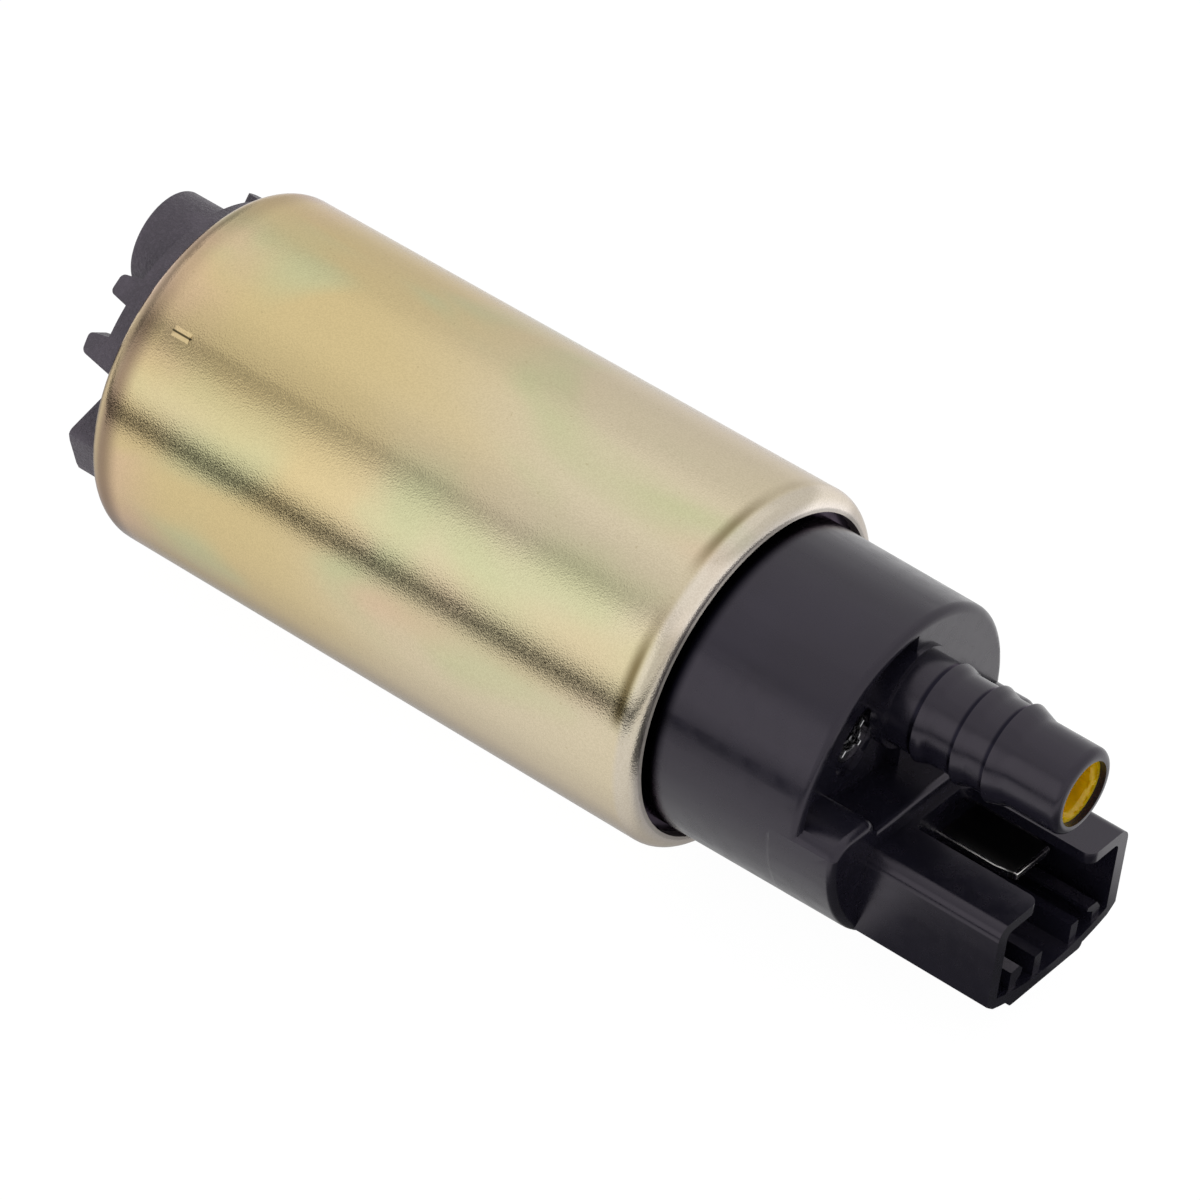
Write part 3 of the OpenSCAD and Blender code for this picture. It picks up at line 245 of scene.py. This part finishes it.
class Finish:
    """One procedural material, with short calls for the nodes that it is made of"""

    def __init__(self, name):
        self.material = bpy.data.materials.new(name)
        self.material.use_nodes = True
        self.tree = self.material.node_tree
        self.shader = self.tree.nodes["Principled BSDF"]
        coords = self.tree.nodes.new("ShaderNodeTexCoord")
        millimetres = self.tree.nodes.new("ShaderNodeVectorMath")
        millimetres.operation = "SCALE"
        millimetres.inputs["Scale"].default_value = 1 / MM
        self.link(coords.outputs["Object"], millimetres.inputs[0])
        self.place = millimetres.outputs[0]

    def link(self, source, target):
        self.tree.links.new(source, target)

    def set(self, **values):
        """Constants straight on the shader's sockets; underscores stand for spaces"""
        for name, value in values.items():
            self.shader.inputs[name.replace("_", " ")].default_value = value

    def stretch(self, x, y, z):
        node = self.tree.nodes.new("ShaderNodeVectorMath")
        node.operation = "MULTIPLY"
        node.inputs[1].default_value = (x, y, z)
        self.link(self.place, node.inputs[0])
        return node.outputs[0]

    def noise(self, per_mm, detail=2.0, rough=0.5, vector=None, warp=0.0):
        node = self.tree.nodes.new("ShaderNodeTexNoise")
        node.inputs["Scale"].default_value = per_mm
        node.inputs["Detail"].default_value = detail
        node.inputs["Roughness"].default_value = rough
        node.inputs["Distortion"].default_value = warp
        self.link(vector or self.place, node.inputs["Vector"])
        return node.outputs["Fac"]

    def spread(self, value, low, high, to_low=0.0, to_high=1.0):
        """Eases from to_low, where value is at low or below, to to_high, where it is at high or above"""
        node = self.tree.nodes.new("ShaderNodeMapRange")
        node.interpolation_type = "SMOOTHSTEP"
        ends = {"From Min": low, "From Max": high, "To Min": to_low, "To Max": to_high}
        for name, number in ends.items():
            node.inputs[name].default_value = number
        self.link(value, node.inputs["Value"])
        return node.outputs["Result"]

    def maths(self, kind, a, b=0.0):
        return maths_node(self.tree, kind, a, b)

    def mix(self, share, a, b):
        node = self.tree.nodes.new("ShaderNodeMix")
        node.data_type = "RGBA"
        colours = [socket for socket in node.inputs if socket.type == "RGBA"]
        for socket, value in zip((node.inputs["Factor"], *colours), (share, a, b)):
            if isinstance(value, (int, float)):
                socket.default_value = value
            elif isinstance(value, bpy.types.NodeSocket):
                self.link(value, socket)
            else:
                socket.default_value = (*value[:3], 1)
        return next(socket for socket in node.outputs if socket.type == "RGBA")

    def axis_parts(self):
        node = self.tree.nodes.new("ShaderNodeSeparateXYZ")
        self.link(self.place, node.inputs[0])
        return node.outputs

    def between(self, value, low, rising, falling, high, top=1.0):
        """Rises softly from low to rising, and falls again from falling to high"""
        rise = self.spread(value, low, rising, 0, top)
        return self.maths("MULTIPLY", rise, self.spread(value, falling, high, 1, 0))

    def radius(self, height=0.0):
        """Distance in mm from a line along the pump, at this height above its axis"""
        _, y, z = self.axis_parts()
        above = self.maths("SUBTRACT", z, height)
        squares = [self.maths("MULTIPLY", part, part) for part in (y, above)]
        return self.maths("SQRT", self.maths("ADD", *squares))

    def bump(self, height, strength, distance):
        node = self.tree.nodes.new("ShaderNodeBump")
        node.inputs["Strength"].default_value = strength
        node.inputs["Distance"].default_value = distance
        self.link(height, node.inputs["Height"])
        self.link(node.outputs["Normal"], self.shader.inputs["Normal"])

    def colour(self, source):
        self.link(source, self.shader.inputs["Base Color"])

    def roughness(self, source):
        self.link(source, self.shader.inputs["Roughness"])

    def metallic(self, source):
        self.link(source, self.shader.inputs["Metallic"])

    def tint(self, *rgb):
        """Colour of the gloss, the same all over"""
        self.shader.inputs["Specular Tint"].default_value = (*rgb, 1)


def shade(base, factor):
    """The same colour, lighter or darker by this factor"""
    return tuple(min(1.0, c * factor) for c in base)


def film_colour(f, style, x):
    """Gold chromate that pales towards the outlet, with green and rose clouds"""
    clouds = f.noise(0.06, 2, 0.5, f.stretch(0.6, 1, 1), 0.5)
    drift = f.noise(0.045, 2, 0.5, f.stretch(0.5, 1, 1), 0.3)
    wander = f.maths("MULTIPLY", f.maths("SUBTRACT", drift, 0.5), 0.8)
    along = f.maths("ADD", f.spread(x, -FILM_END, FILM_END), wander)
    film = f.mix(f.spread(along, 0.1, 0.9), style.can_gold, style.can_straw)
    film = f.mix(f.spread(clouds, 0.46, 0.64, 0, 0.85), film, style.can_green)
    film = f.mix(f.spread(drift, 0.54, 0.70, 0, 0.75), film, style.can_rose)
    flush = f.spread(f.noise(0.09, 2, 0.5), 0.38, 0.58, 0.2, 1.0)
    warm = f.maths("MULTIPLY", f.spread(x, -FILM_END, WARM_END, 1, 0), flush)
    return f.mix(warm, film, style.can_rose)


def rolled_ends(f, style, film, x, y, z):
    """The film with a painted dark reflection where each roll starts, and bare zinc from wear on its lip
    with a painted highlight
    """
    # Painted dark reflection: a dark line at the start of the inlet roll, strongest on the near side
    from_inlet = f.maths("ADD", x, CAN_END)
    shaded_bend = f.between(from_inlet, 0.8, 2.0, 2.2, 4.4)
    shaded_bend = f.maths("MULTIPLY", shaded_bend, f.spread(z, 12, 17, 0.95, 0.35))
    film = f.mix(shaded_bend, film, shade(style.can_rose, 0.42))
    # Zinc rubbed bare on both rolls, with a painted highlight, a lighter copy of the zinc, along the top of
    # the outlet's
    from_outlet = f.maths("SUBTRACT", CAN_END, x)
    inlet_roll = f.spread(from_inlet, 0.3, 2.6, 0.35, 0)
    outlet_roll = f.spread(from_outlet, 1.4, 2.2, 1, 0)
    inside = f.spread(f.radius(), CAN_RIM - 1.6, CAN_RIM - 0.5, 0.5, 0)
    wear = f.maths("MULTIPLY", f.maths("MAXIMUM", inlet_roll, outlet_roll), f.maths("ADD", inside, 0.5))
    lip_highlight = f.between(z, 11.5, 13.5, 16.5, 17.7)
    zinc = f.mix(lip_highlight, shade(style.can_lip, 0.66), shade(style.can_lip, 1.12))
    # Painted dark reflection: a brown line at the start of the outlet roll, below the painted highlight and
    # again over the top
    near = f.between(z, 2.5, 5.0, 9.0, 15.2, 0.9)
    far = f.maths("MULTIPLY", f.spread(z, 15.8, 18.2), f.spread(y, -4.0, 3.0, 0.75, 0.2))
    shaded_bend = f.between(from_outlet, 1.6, 2.3, 2.4, 3.6)
    roll_shade = f.maths("MULTIPLY", shaded_bend, f.maths("ADD", near, far))
    return f.mix(roll_shade, f.mix(wear, film, zinc), style.can_roll_shade)


def stake_shaded_crease(f, x, y, z):
    """Share of the painted shade, a thin dark line along the stake mark's bottom; it also falls straight
    across the axis
    """
    side = f.maths("MULTIPLY", y, math.sin(STAKE_TURN))
    aside = f.maths("ADD", side, f.maths("MULTIPLY", z, math.cos(STAKE_TURN)))
    shaded_crease = f.spread(f.maths("ABSOLUTE", aside), 0.05, 0.16, 1, 0)
    start, end = STAKE_ENDS
    return f.maths("MULTIPLY", shaded_crease, f.between(x, start - 0.2, start, end, end + 0.2))


def chromate_finish(style):
    """Yellow chromate on zinc: a clouded gold film with lips rubbed to bare zinc and a fine grain, and
    painted shade and highlights at the rolls and in the stake mark
    """
    f = Finish("yellow_chromate")
    f.tint(0.78, 0.75, 0.75)
    x, y, z = f.axis_parts()
    film = rolled_ends(f, style, film_colour(f, style, x), x, y, z)
    grain = f.noise(1 / (style.grain / MM), 2, 0.6)
    toned = f.mix(f.spread(grain, 0.35, 0.65, 0.14, 0), film, shade(style.can_gold, 0.3))
    specks = f.spread(f.noise(2.2, 1), 0.72, 0.80, 0, 0.3)
    toned = f.mix(specks, toned, shade(style.can_gold, 0.55))
    # Painted shade in the stake mark's crease
    f.colour(f.mix(stake_shaded_crease(f, x, y, z), toned, shade(style.can_gold, 0.12)))
    burr = f.spread(f.radius(), CAN_RIM - 1.7, CAN_RIM - 1.4, 1, 0)
    f.metallic(f.maths("SUBTRACT", 1.0, f.maths("MULTIPLY", burr, 0.72)))
    polish = f.spread(grain, 0.3, 0.7, 0.11, 0.15)
    f.roughness(f.maths("ADD", polish, f.maths("MULTIPLY", burr, 0.30)))
    f.bump(grain, 0.60, 0.00004)
    return f.material


def cap_finish(style):
    """Black moulding with a soft gloss and faint flow marks, with painted shade beside the can and behind
    the barbs
    """
    f = Finish("cap_moulding")
    x = f.axis_parts()[0]
    flow = f.noise(0.12, 3, 0.5, f.stretch(0.4, 1, 1), 0.6)
    # Painted shade on the cap beside the can's lip, darkest next to the can
    gap_shade = f.spread(x, CAN_END + 0.5, CAN_END + 1.7, 1, 0)
    skin = f.mix(f.spread(flow, 0.4, 0.7), style.cap_black, shade(style.cap_black, 1.4))
    f.colour(f.mix(gap_shade, skin, shade(style.cap_black, 0.35)))
    # Painted shade in a thin line just behind each barb's crest
    shaded_creases = 0.0
    for crest in BARB_CRESTS:
        shaded_crease = f.between(x, crest - 0.85, crest - 0.50, crest - 0.14, crest - 0.06)
        shaded_creases = f.maths("ADD", shaded_creases, shaded_crease)
    on_nipple = f.spread(f.radius(NIPPLE_Z), NIPPLE_REACH - 0.1, NIPPLE_REACH + 0.1, 0.9, 0)
    # Metallic over the black darkens these painted shades
    f.metallic(f.maths("MAXIMUM", f.maths("MULTIPLY", shaded_creases, on_nipple), gap_shade))
    f.roughness(f.spread(f.noise(0.6, 3), 0.35, 0.65, 0.22, 0.28))
    f.set(IOR=1.505)
    f.tint(0.98, 0.88, 1.0)
    f.bump(f.noise(5, 2), 0.10, 0.00002)
    return f.material


def cover_finish(style):
    """Glass-filled moulding: dull dark grey with a pebbled skin and a sparkle of fibres"""
    f = Finish("cover_moulding")
    fibre = f.noise(3.2, 2, 0.6)
    base = f.mix(f.spread(f.noise(0.3, 2), 0.4, 0.65), style.cover_grey, shade(style.cover_grey, 1.3))
    f.colour(f.mix(f.spread(fibre, 0.45, 0.70, 0, 0.5), base, shade(style.cover_grey, 1.6)))
    f.roughness(f.spread(fibre, 0.3, 0.7, 0.52, 0.40))
    f.bump(fibre, 1.0, 0.00019)
    return f.material


def sleeve_finish(style):
    """Clear yellow moulding, deeper in colour where it is thick"""
    f = Finish("yellow_moulding")
    depth = f.spread(f.noise(0.5, 2), 0.4, 0.7)
    f.colour(f.mix(depth, style.sleeve_yellow, shade(style.sleeve_yellow, 0.85)))
    f.roughness(f.spread(f.noise(1.5, 2), 0.3, 0.7, 0.18, 0.28))
    f.set(Subsurface_Weight=0.3, Subsurface_Scale=0.001, IOR=1.5)
    f.shader.inputs["Subsurface Radius"].default_value = (1.0, 0.5, 0.05)
    return f.material


def blade_finish(style):
    """Tin in two copies: a darker one on the faces of the blades for painted shade, and a lighter one along
    their edges and tip for a painted highlight
    """
    f = Finish("tinned_brass")
    f.set(Metallic=1.0)
    x, y, _ = f.axis_parts()
    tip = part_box("terminal_left")[1].x / MM
    off = f.maths("SUBTRACT", f.maths("ABSOLUTE", y), BLADE_MIDDLE)
    edges = f.spread(f.maths("ABSOLUTE", off), BLADE_HALF - 0.38, BLADE_HALF - 0.24)
    edge_highlight = f.maths("MAXIMUM", edges, f.spread(x, tip - 0.48, tip - 0.30))
    # Painted highlight along the edges and the tip, painted shade on the faces
    f.colour(f.mix(edge_highlight, shade(style.tin, 0.30), shade(style.tin, 1.9)))
    f.roughness(f.spread(edge_highlight, 0, 1, 0.35, 0.25))
    return f.material


def metal_finish(name, base, rough, grain_per_mm, along=(1, 1, 1), wear=0.75):
    """Metal with a directional grain and small changes of tone"""
    f = Finish(name)
    f.set(Metallic=1.0)
    tone = f.noise(0.35, 3, 0.6)
    f.colour(f.mix(f.spread(tone, 0.35, 0.7), base, shade(base, wear)))
    grain = f.noise(grain_per_mm, 2, 0.6, f.stretch(*along))
    f.roughness(f.spread(grain, 0.3, 0.7, rough * 0.8, rough * 1.25))
    f.bump(grain, 0.08, 0.00002)
    return f.material


def moulded_finish(name, base, rough, second=1.3):
    """Dull material with a mottled tone: mouldings, ferrite, carbon and rubber"""
    f = Finish(name)
    mottle = f.noise(0.4, 3, 0.6)
    f.colour(f.mix(f.spread(mottle, 0.35, 0.7), base, shade(base, second)))
    grain = f.noise(3.0, 2, 0.6)
    f.roughness(f.spread(grain, 0.3, 0.7, rough * 0.85, min(1.0, rough * 1.15)))
    f.bump(grain, 0.12, 0.00003)
    return f.material


def dress(node, material, edge=0.0):
    """Gives a CAD node its finish and, with edge, small roundings along its sharp edges"""
    piece = NODES[node]
    piece.data.materials.clear()
    piece.data.materials.append(material)
    if edge:
        weld = piece.modifiers.new("weld", "WELD")
        weld.merge_threshold = SAME_POINT
        flats = piece.modifiers.new("flats", "DECIMATE")
        flats.decimate_type = "DISSOLVE"
        flats.angle_limit = FLAT
        bevel = piece.modifiers.new("edges", "BEVEL")
        bevel.width = edge
        bevel.segments = 2
        bevel.limit_method = "ANGLE"
        bevel.angle_limit = SHARP
        bevel.miter_outer = "MITER_ARC"
        bevel.face_strength_mode = "FSTR_ALL"
        normals = piece.modifiers.new("normals", "WEIGHTED_NORMAL")
        normals.mode = "FACE_AREA"
        normals.use_face_influence = True
    return piece


def dress_all(*rows):
    """Dresses the nodes of each row, which holds a slot, a finish and one or more nodes"""
    for slot, material, *nodes in rows:
        for node in nodes:
            dress(node, material)


def coil_piece(name, node, body, material, wire, turns, sides):
    """Round wire coil in a CAD spring's place, hung on the body's empty; the spring itself is hidden"""
    low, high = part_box(node)
    middle_y, middle_z = (low.y + high.y) / 2, (low.z + high.z) / 2
    coil = (high.y - low.y) / 2 - wire
    start, end = low.x + wire, high.x - wire
    count = round(turns * COIL_STEPS)
    rise = (end - start) / (turns * 2 * math.pi * coil)
    points, faces = [], []
    for i in range(count + 1):
        angle = 2 * math.pi * i / COIL_STEPS
        outward = Vector((0, math.cos(angle), math.sin(angle)))
        middle = Vector((start + (end - start) * i / count, middle_y, middle_z)) + outward * coil
        across = Vector((rise, -math.sin(angle), math.cos(angle))).normalized().cross(outward)
        for j in range(sides):
            side = 2 * math.pi * j / sides
            points.append(middle + outward * (wire * math.cos(side)) + across * (wire * math.sin(side)))
    for i in range(count):
        for j in range(sides):
            a, b = i * sides + j, i * sides + (j + 1) % sides
            faces.append((a, b, b + sides, a + sides))
    faces.append(tuple(reversed(range(sides))))
    faces.append(tuple(count * sides + j for j in range(sides)))
    piece = add_mesh(name, points, faces)
    piece.data.validate()
    piece.data.shade_smooth()
    piece.data.materials.append(material)
    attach(piece, body)
    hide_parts(node)
    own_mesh(piece)
    return piece


# Operators, one for each piece or group of like pieces


class FUELPUMP_OT_can(bpy.types.Operator):
    """Finish the steel can"""

    bl_idname = "fuelpump.can"
    bl_label = "Can"

    def execute(self, context):
        dress("can", chromate_finish(context.scene.fuel_pump_finish))
        return {"FINISHED"}


class FUELPUMP_OT_inlet_cover(bpy.types.Operator):
    """Finish the inlet cover and round its edges"""

    bl_idname = "fuelpump.inlet_cover"
    bl_label = "Inlet cover"

    def execute(self, context):
        style = context.scene.fuel_pump_finish
        dress("inlet_cover", cover_finish(style), style.cover_edge)
        return {"FINISHED"}


class FUELPUMP_OT_outlet_cap(bpy.types.Operator):
    """Finish the outlet cap and round its edges"""

    bl_idname = "fuelpump.outlet_cap"
    bl_label = "Outlet cap"

    def execute(self, context):
        style = context.scene.fuel_pump_finish
        dress("outlet_cap", cap_finish(style), style.cap_edge)
        return {"FINISHED"}


class FUELPUMP_OT_terminals(bpy.types.Operator):
    """Finish the two terminal blades"""

    bl_idname = "fuelpump.terminals"
    bl_label = "Terminals"

    def execute(self, context):
        style = context.scene.fuel_pump_finish
        tin = blade_finish(style)
        for node in ("terminal_left", "terminal_right"):
            dress(node, tin, style.blade_edge)
        return {"FINISHED"}


class FUELPUMP_OT_outlet_valves(bpy.types.Operator):
    """Finish the sleeve, the check valve and the relief valve"""

    bl_idname = "fuelpump.outlet_valves"
    bl_label = "Outlet valves"

    def execute(self, context):
        style = context.scene.fuel_pump_finish
        dress("valve_sleeve", sleeve_finish(style), style.trim_edge)
        natural = moulded_finish("natural_moulding", (0.62, 0.59, 0.50), 0.4, 0.9)
        dress("check_valve", natural, style.valve_edge)
        rubber = moulded_finish("seal_rubber", (0.018, 0.018, 0.018), 0.6, 1.5)
        dress_all(("seal_rubber", rubber, "valve_seal", "seal_ring"))
        bright = metal_finish("bright_steel", style.steel, 0.18, 4)
        dress("relief_retainer", bright, style.trim_edge)
        dress("relief_ball", bright)
        return {"FINISHED"}


class FUELPUMP_OT_coils(bpy.types.Operator):
    """Make the springs and brush leads as round wire"""

    bl_idname = "fuelpump.coils"
    bl_label = "Springs and leads"

    def execute(self, context):
        style = context.scene.fuel_pump_finish
        finishes = {
            "wire": metal_finish("spring_wire", style.steel, 0.22, 5, (1, 1, 1), 0.85),
            "strand": metal_finish("copper_strand", style.copper, 0.35, 5, (1, 1, 1), 0.7),
        }
        for name, (node, radius, turns, joint, travel, finish, slot) in COILS.items():
            piece = coil_piece(
                name, node, "pump", finishes[finish], radius * MM, turns, style.wire_sides
            )
        return {"FINISHED"}


class FUELPUMP_OT_pump_section(bpy.types.Operator):
    """Finish the impeller, the casing and the thrust button"""

    bl_idname = "fuelpump.pump_section"
    bl_label = "Pump section"

    def execute(self, context):
        phenolic = moulded_finish("impeller_phenolic", (0.055, 0.045, 0.040), 0.5, 1.4)
        casing = moulded_finish("casing_moulding", (0.08, 0.072, 0.08), 0.5, 1.3)
        hard = metal_finish("ground_steel", context.scene.fuel_pump_finish.steel, 0.15, 4)
        dress_all(
            ("impeller_resin", phenolic, "impeller"),
            ("casing_resin", casing, "pump_casing"),
            ("hard_steel", hard, "thrust_button"),
        )
        return {"FINISHED"}


class FUELPUMP_OT_armature(bpy.types.Operator):
    """Finish the shaft, its bushes, the armature and the commutator"""

    bl_idname = "fuelpump.armature"
    bl_label = "Shaft and armature"

    def execute(self, context):
        style = context.scene.fuel_pump_finish
        shaft = metal_finish("shaft_steel", style.steel, 0.16, 3, (0.15, 1, 1))
        washer = moulded_finish("washer_moulding", (0.6, 0.57, 0.47), 0.45, 0.9)
        bronze = metal_finish("sintered_bronze", (0.50, 0.33, 0.16), 0.5, 4)
        core = metal_finish("laminated_steel", (0.30, 0.30, 0.32), 0.4, 2, (8, 0.2, 0.2))
        insulator = moulded_finish("insulator_moulding", (0.62, 0.55, 0.33), 0.5, 0.9)
        winding = metal_finish("winding_copper", style.copper, 0.3, 2, (0.2, 2, 2))
        resin = moulded_finish("commutator_phenolic", (0.10, 0.05, 0.03), 0.5)
        carbon = moulded_finish("commutator_carbon", (0.03, 0.03, 0.032), 0.5, 1.6)
        dress_all(
            ("hard_steel", shaft, "shaft"),
            ("washer_plastic", washer, "thrust_washer"),
            ("bush_bronze", bronze, "inlet_bush", "outlet_bush"),
            ("core_steel", core, "armature_core"),
            ("insulator_plastic", insulator, "core_insulators"),
            ("copper_wire", winding, "windings", "choke_coils"),
            ("commutator_resin", resin, "commutator_base"),
            ("bar_carbon", carbon, "commutator_bars"),
        )
        return {"FINISHED"}


class FUELPUMP_OT_motor_parts(bpy.types.Operator):
    """Finish the magnets, the clips, the brush gear and the chokes"""

    bl_idname = "fuelpump.motor_parts"
    bl_label = "Magnets and brush gear"

    def execute(self, context):
        style = context.scene.fuel_pump_finish
        magnet = moulded_finish("magnet_ferrite", (0.032, 0.032, 0.036), 0.55, 1.6)
        choke = moulded_finish("choke_ferrite", (0.05, 0.05, 0.055), 0.55, 1.4)
        clip = metal_finish("clip_steel", style.steel, 0.3, 3, (0.2, 1, 1))
        holder = moulded_finish("holder_moulding", (0.03, 0.03, 0.034), 0.4, 1.4)
        brush = moulded_finish("brush_carbon", (0.022, 0.022, 0.024), 0.55, 1.8)
        brass = metal_finish("contact_brass", (0.66, 0.48, 0.17), 0.3, 3, (0.2, 1, 1))
        dress_all(
            ("magnet_ferrite", magnet, "magnet_left", "magnet_right"),
            ("choke_ferrite", choke, "choke_cores"),
            ("spring_steel", clip, "magnet_clips"),
            ("holder_plastic", holder, "brush_holder"),
            ("brush_carbon", brush, "brush_left", "brush_right"),
            ("contact_brass", brass, "contact_plates"),
        )
        return {"FINISHED"}


def seen_share(tree, plain, gloss):
    """Share of plain white: one value for camera rays, another for glossy and transmission rays"""
    path = tree.nodes.new("ShaderNodeLightPath")
    shown = maths_node(tree, "MAXIMUM", path.outputs["Is Glossy Ray"], path.outputs["Is Transmission Ray"])
    direct = maths_node(tree, "MULTIPLY", path.outputs["Is Camera Ray"], plain)
    return maths_node(tree, "MAXIMUM", direct, maths_node(tree, "MULTIPLY", shown, gloss))


def blank_material(name):
    material = bpy.data.materials.new(name)
    material.use_nodes = True
    material.node_tree.nodes.clear()
    return material


def show_mix(tree, share, first, second, output="ShaderNodeOutputMaterial"):
    """Shows the mix of two shaders"""
    mixed = tree.nodes.new("ShaderNodeMixShader")
    for source, socket in zip((share, first.outputs[0], second.outputs[0]), mixed.inputs):
        tree.links.new(source, socket)
    out = tree.nodes.new(output)
    tree.links.new(mixed.outputs[0], out.inputs["Surface"])


def ramp(tree, place, stops):
    """Grey value at this place, eased between the stops"""
    node = tree.nodes.new("ShaderNodeValToRGB")
    node.color_ramp.interpolation = "EASE"
    while len(node.color_ramp.elements) < len(stops):
        node.color_ramp.elements.new(0.5)
    for element, (at, grey) in zip(node.color_ramp.elements, stops):
        element.position = at
        element.color = (grey, grey, grey, 1)
    tree.links.new(place, node.inputs[0])
    return node.outputs[0]


def dark_board(name, corner, first, second, across, fade):
    """Dark sheet beside the pump, seen only in its gloss"""
    corner, first, second = Vector(corner), Vector(first), Vector(second)
    corners = [corner, corner + first, corner + first + second, corner + second]
    board = add_mesh(name, corners, [(0, 1, 2, 3)])
    uv = board.data.uv_layers.new(name="sheet")
    for loop, place in zip(board.data.loops, ((0, 0), (1, 0), (1, 1), (0, 1))):
        uv.data[loop.index].uv = place
    material = blank_material(name + "_cloth")
    tree = material.node_tree
    coords = tree.nodes.new("ShaderNodeUVMap")
    coords.uv_map = "sheet"
    parts = tree.nodes.new("ShaderNodeSeparateXYZ")
    tree.links.new(coords.outputs[0], parts.inputs[0])
    shares = (ramp(tree, parts.outputs[1], across), ramp(tree, parts.outputs[0], fade))
    clear = tree.nodes.new("ShaderNodeBsdfTransparent")
    black = tree.nodes.new("ShaderNodeEmission")
    black.inputs["Color"].default_value = (0, 0, 0, 1)
    show_mix(tree, maths_node(tree, "MULTIPLY", *shares), clear, black)
    board.data.materials.append(material)
    board.visible_camera = False
    board.visible_diffuse = False
    board.visible_transmission = False
    board.visible_volume_scatter = False
    board.visible_shadow = False


def softbox(name, place, size, energy):
    """Rectangular lamp that faces the pump's middle"""
    data = bpy.data.lights.new(name, "AREA")
    data.shape = "RECTANGLE"
    data.size, data.size_y = size
    data.energy = energy
    lamp = bpy.data.objects.new(name, data)
    bpy.context.scene.collection.objects.link(lamp)
    lamp.location = place
    lamp.rotation_mode = "QUATERNION"
    lamp.rotation_quaternion = (-Vector(place)).to_track_quat("-Z", "Y")


class FUELPUMP_OT_studio(bpy.types.Operator):
    """Set up the camera, the pale floor, the lamps and the dark boards"""

    bl_idname = "fuelpump.studio"
    bl_label = "Studio"

    def execute(self, context):
        studio = context.scene.fuel_pump_studio
        scene = context.scene
        scene.view_settings.view_transform = "Standard"
        self.camera(scene, studio)
        self.floor(studio)
        self.sky(scene, studio)
        for name, (place, size, setting) in SOFTBOXES.items():
            softbox(name, place, size, getattr(studio, setting))
        for name, sheet in BOARDS.items():
            dark_board(name, **sheet)
        return {"FINISHED"}

    def camera(self, scene, studio):
        data = bpy.data.cameras.new("photo_camera")
        data.sensor_width = 36.0
        data.lens = studio.lens
        data.clip_start, data.clip_end = 0.01, 50
        camera = bpy.data.objects.new("photo_camera", data)
        scene.collection.objects.link(camera)
        back = CAMERA_RIGHT.cross(CAMERA_UP).normalized()
        up = back.cross(CAMERA_RIGHT).normalized()
        turn = Matrix((CAMERA_RIGHT.normalized(), up, back)).transposed().to_4x4()
        camera.matrix_world = Matrix.Translation(Vector(studio.camera_place)) @ turn
        scene.camera = camera

    def floor(self, studio):
        half, level = studio.floor_size / 2, -CAN_HIGH.z
        corners = [(-half, -half, level), (half, -half, level), (half, half, level), (-half, half, level)]
        plane = add_mesh("floor", corners, [(0, 1, 2, 3)])
        material = blank_material("floor_paper")
        tree = material.node_tree
        matt = tree.nodes.new("ShaderNodeBsdfDiffuse")
        matt.inputs["Color"].default_value = (0.9, 0.9, 0.9, 1)
        white = tree.nodes.new("ShaderNodeEmission")
        white.inputs["Strength"].default_value = studio.floor_glow
        show_mix(tree, seen_share(tree, studio.floor_white, studio.floor_gloss), matt, white)
        plane.data.materials.append(material)

    def sky(self, scene, studio):
        world = bpy.data.worlds.new("studio_sky")
        scene.world = world
        world.use_nodes = True
        tree = world.node_tree
        tree.nodes.clear()
        low = tree.nodes.new("ShaderNodeBackground")
        low.inputs["Strength"].default_value = studio.fill
        high = tree.nodes.new("ShaderNodeBackground")
        for node in (low, high):
            node.inputs["Color"].default_value = (1, 1, 1, 1)
        show_mix(tree, seen_share(tree, 1.0, studio.sky_gloss), low, high, "ShaderNodeOutputWorld")


PIECES = (
    FUELPUMP_OT_can,
    FUELPUMP_OT_inlet_cover,
    FUELPUMP_OT_outlet_cap,
    FUELPUMP_OT_terminals,
    FUELPUMP_OT_outlet_valves,
    FUELPUMP_OT_coils,
    FUELPUMP_OT_pump_section,
    FUELPUMP_OT_armature,
    FUELPUMP_OT_motor_parts,
    FUELPUMP_OT_studio,
)


class FUELPUMP_PT_sidebar(bpy.types.Panel):
    """Lists the pump's operators and settings"""

    bl_idname = "FUELPUMP_PT_sidebar"
    bl_label = "Fuel Pump"
    bl_space_type = "VIEW_3D"
    bl_region_type = "UI"
    bl_category = "Fuel Pump"

    def draw(self, context):
        for piece in PIECES:
            self.layout.operator(piece.bl_idname)
        for group in (context.scene.fuel_pump_finish, context.scene.fuel_pump_studio):
            for name in group.__annotations__:
                self.layout.prop(group, name)


CLASSES = (FuelPumpFinish, FuelPumpStudio, *PIECES, FUELPUMP_PT_sidebar)


def register():
    for cls in CLASSES:
        bpy.utils.register_class(cls)
    bpy.types.Scene.fuel_pump_finish = PointerProperty(type=FuelPumpFinish)
    bpy.types.Scene.fuel_pump_studio = PointerProperty(type=FuelPumpStudio)


def unregister():
    del bpy.types.Scene.fuel_pump_finish
    del bpy.types.Scene.fuel_pump_studio
    for cls in reversed(CLASSES):
        bpy.utils.unregister_class(cls)


def main():
    register()
    for piece in PIECES:
        group, name = piece.bl_idname.split(".")
        getattr(getattr(bpy.ops, group), name)()


if __name__ == "__main__":
    main()
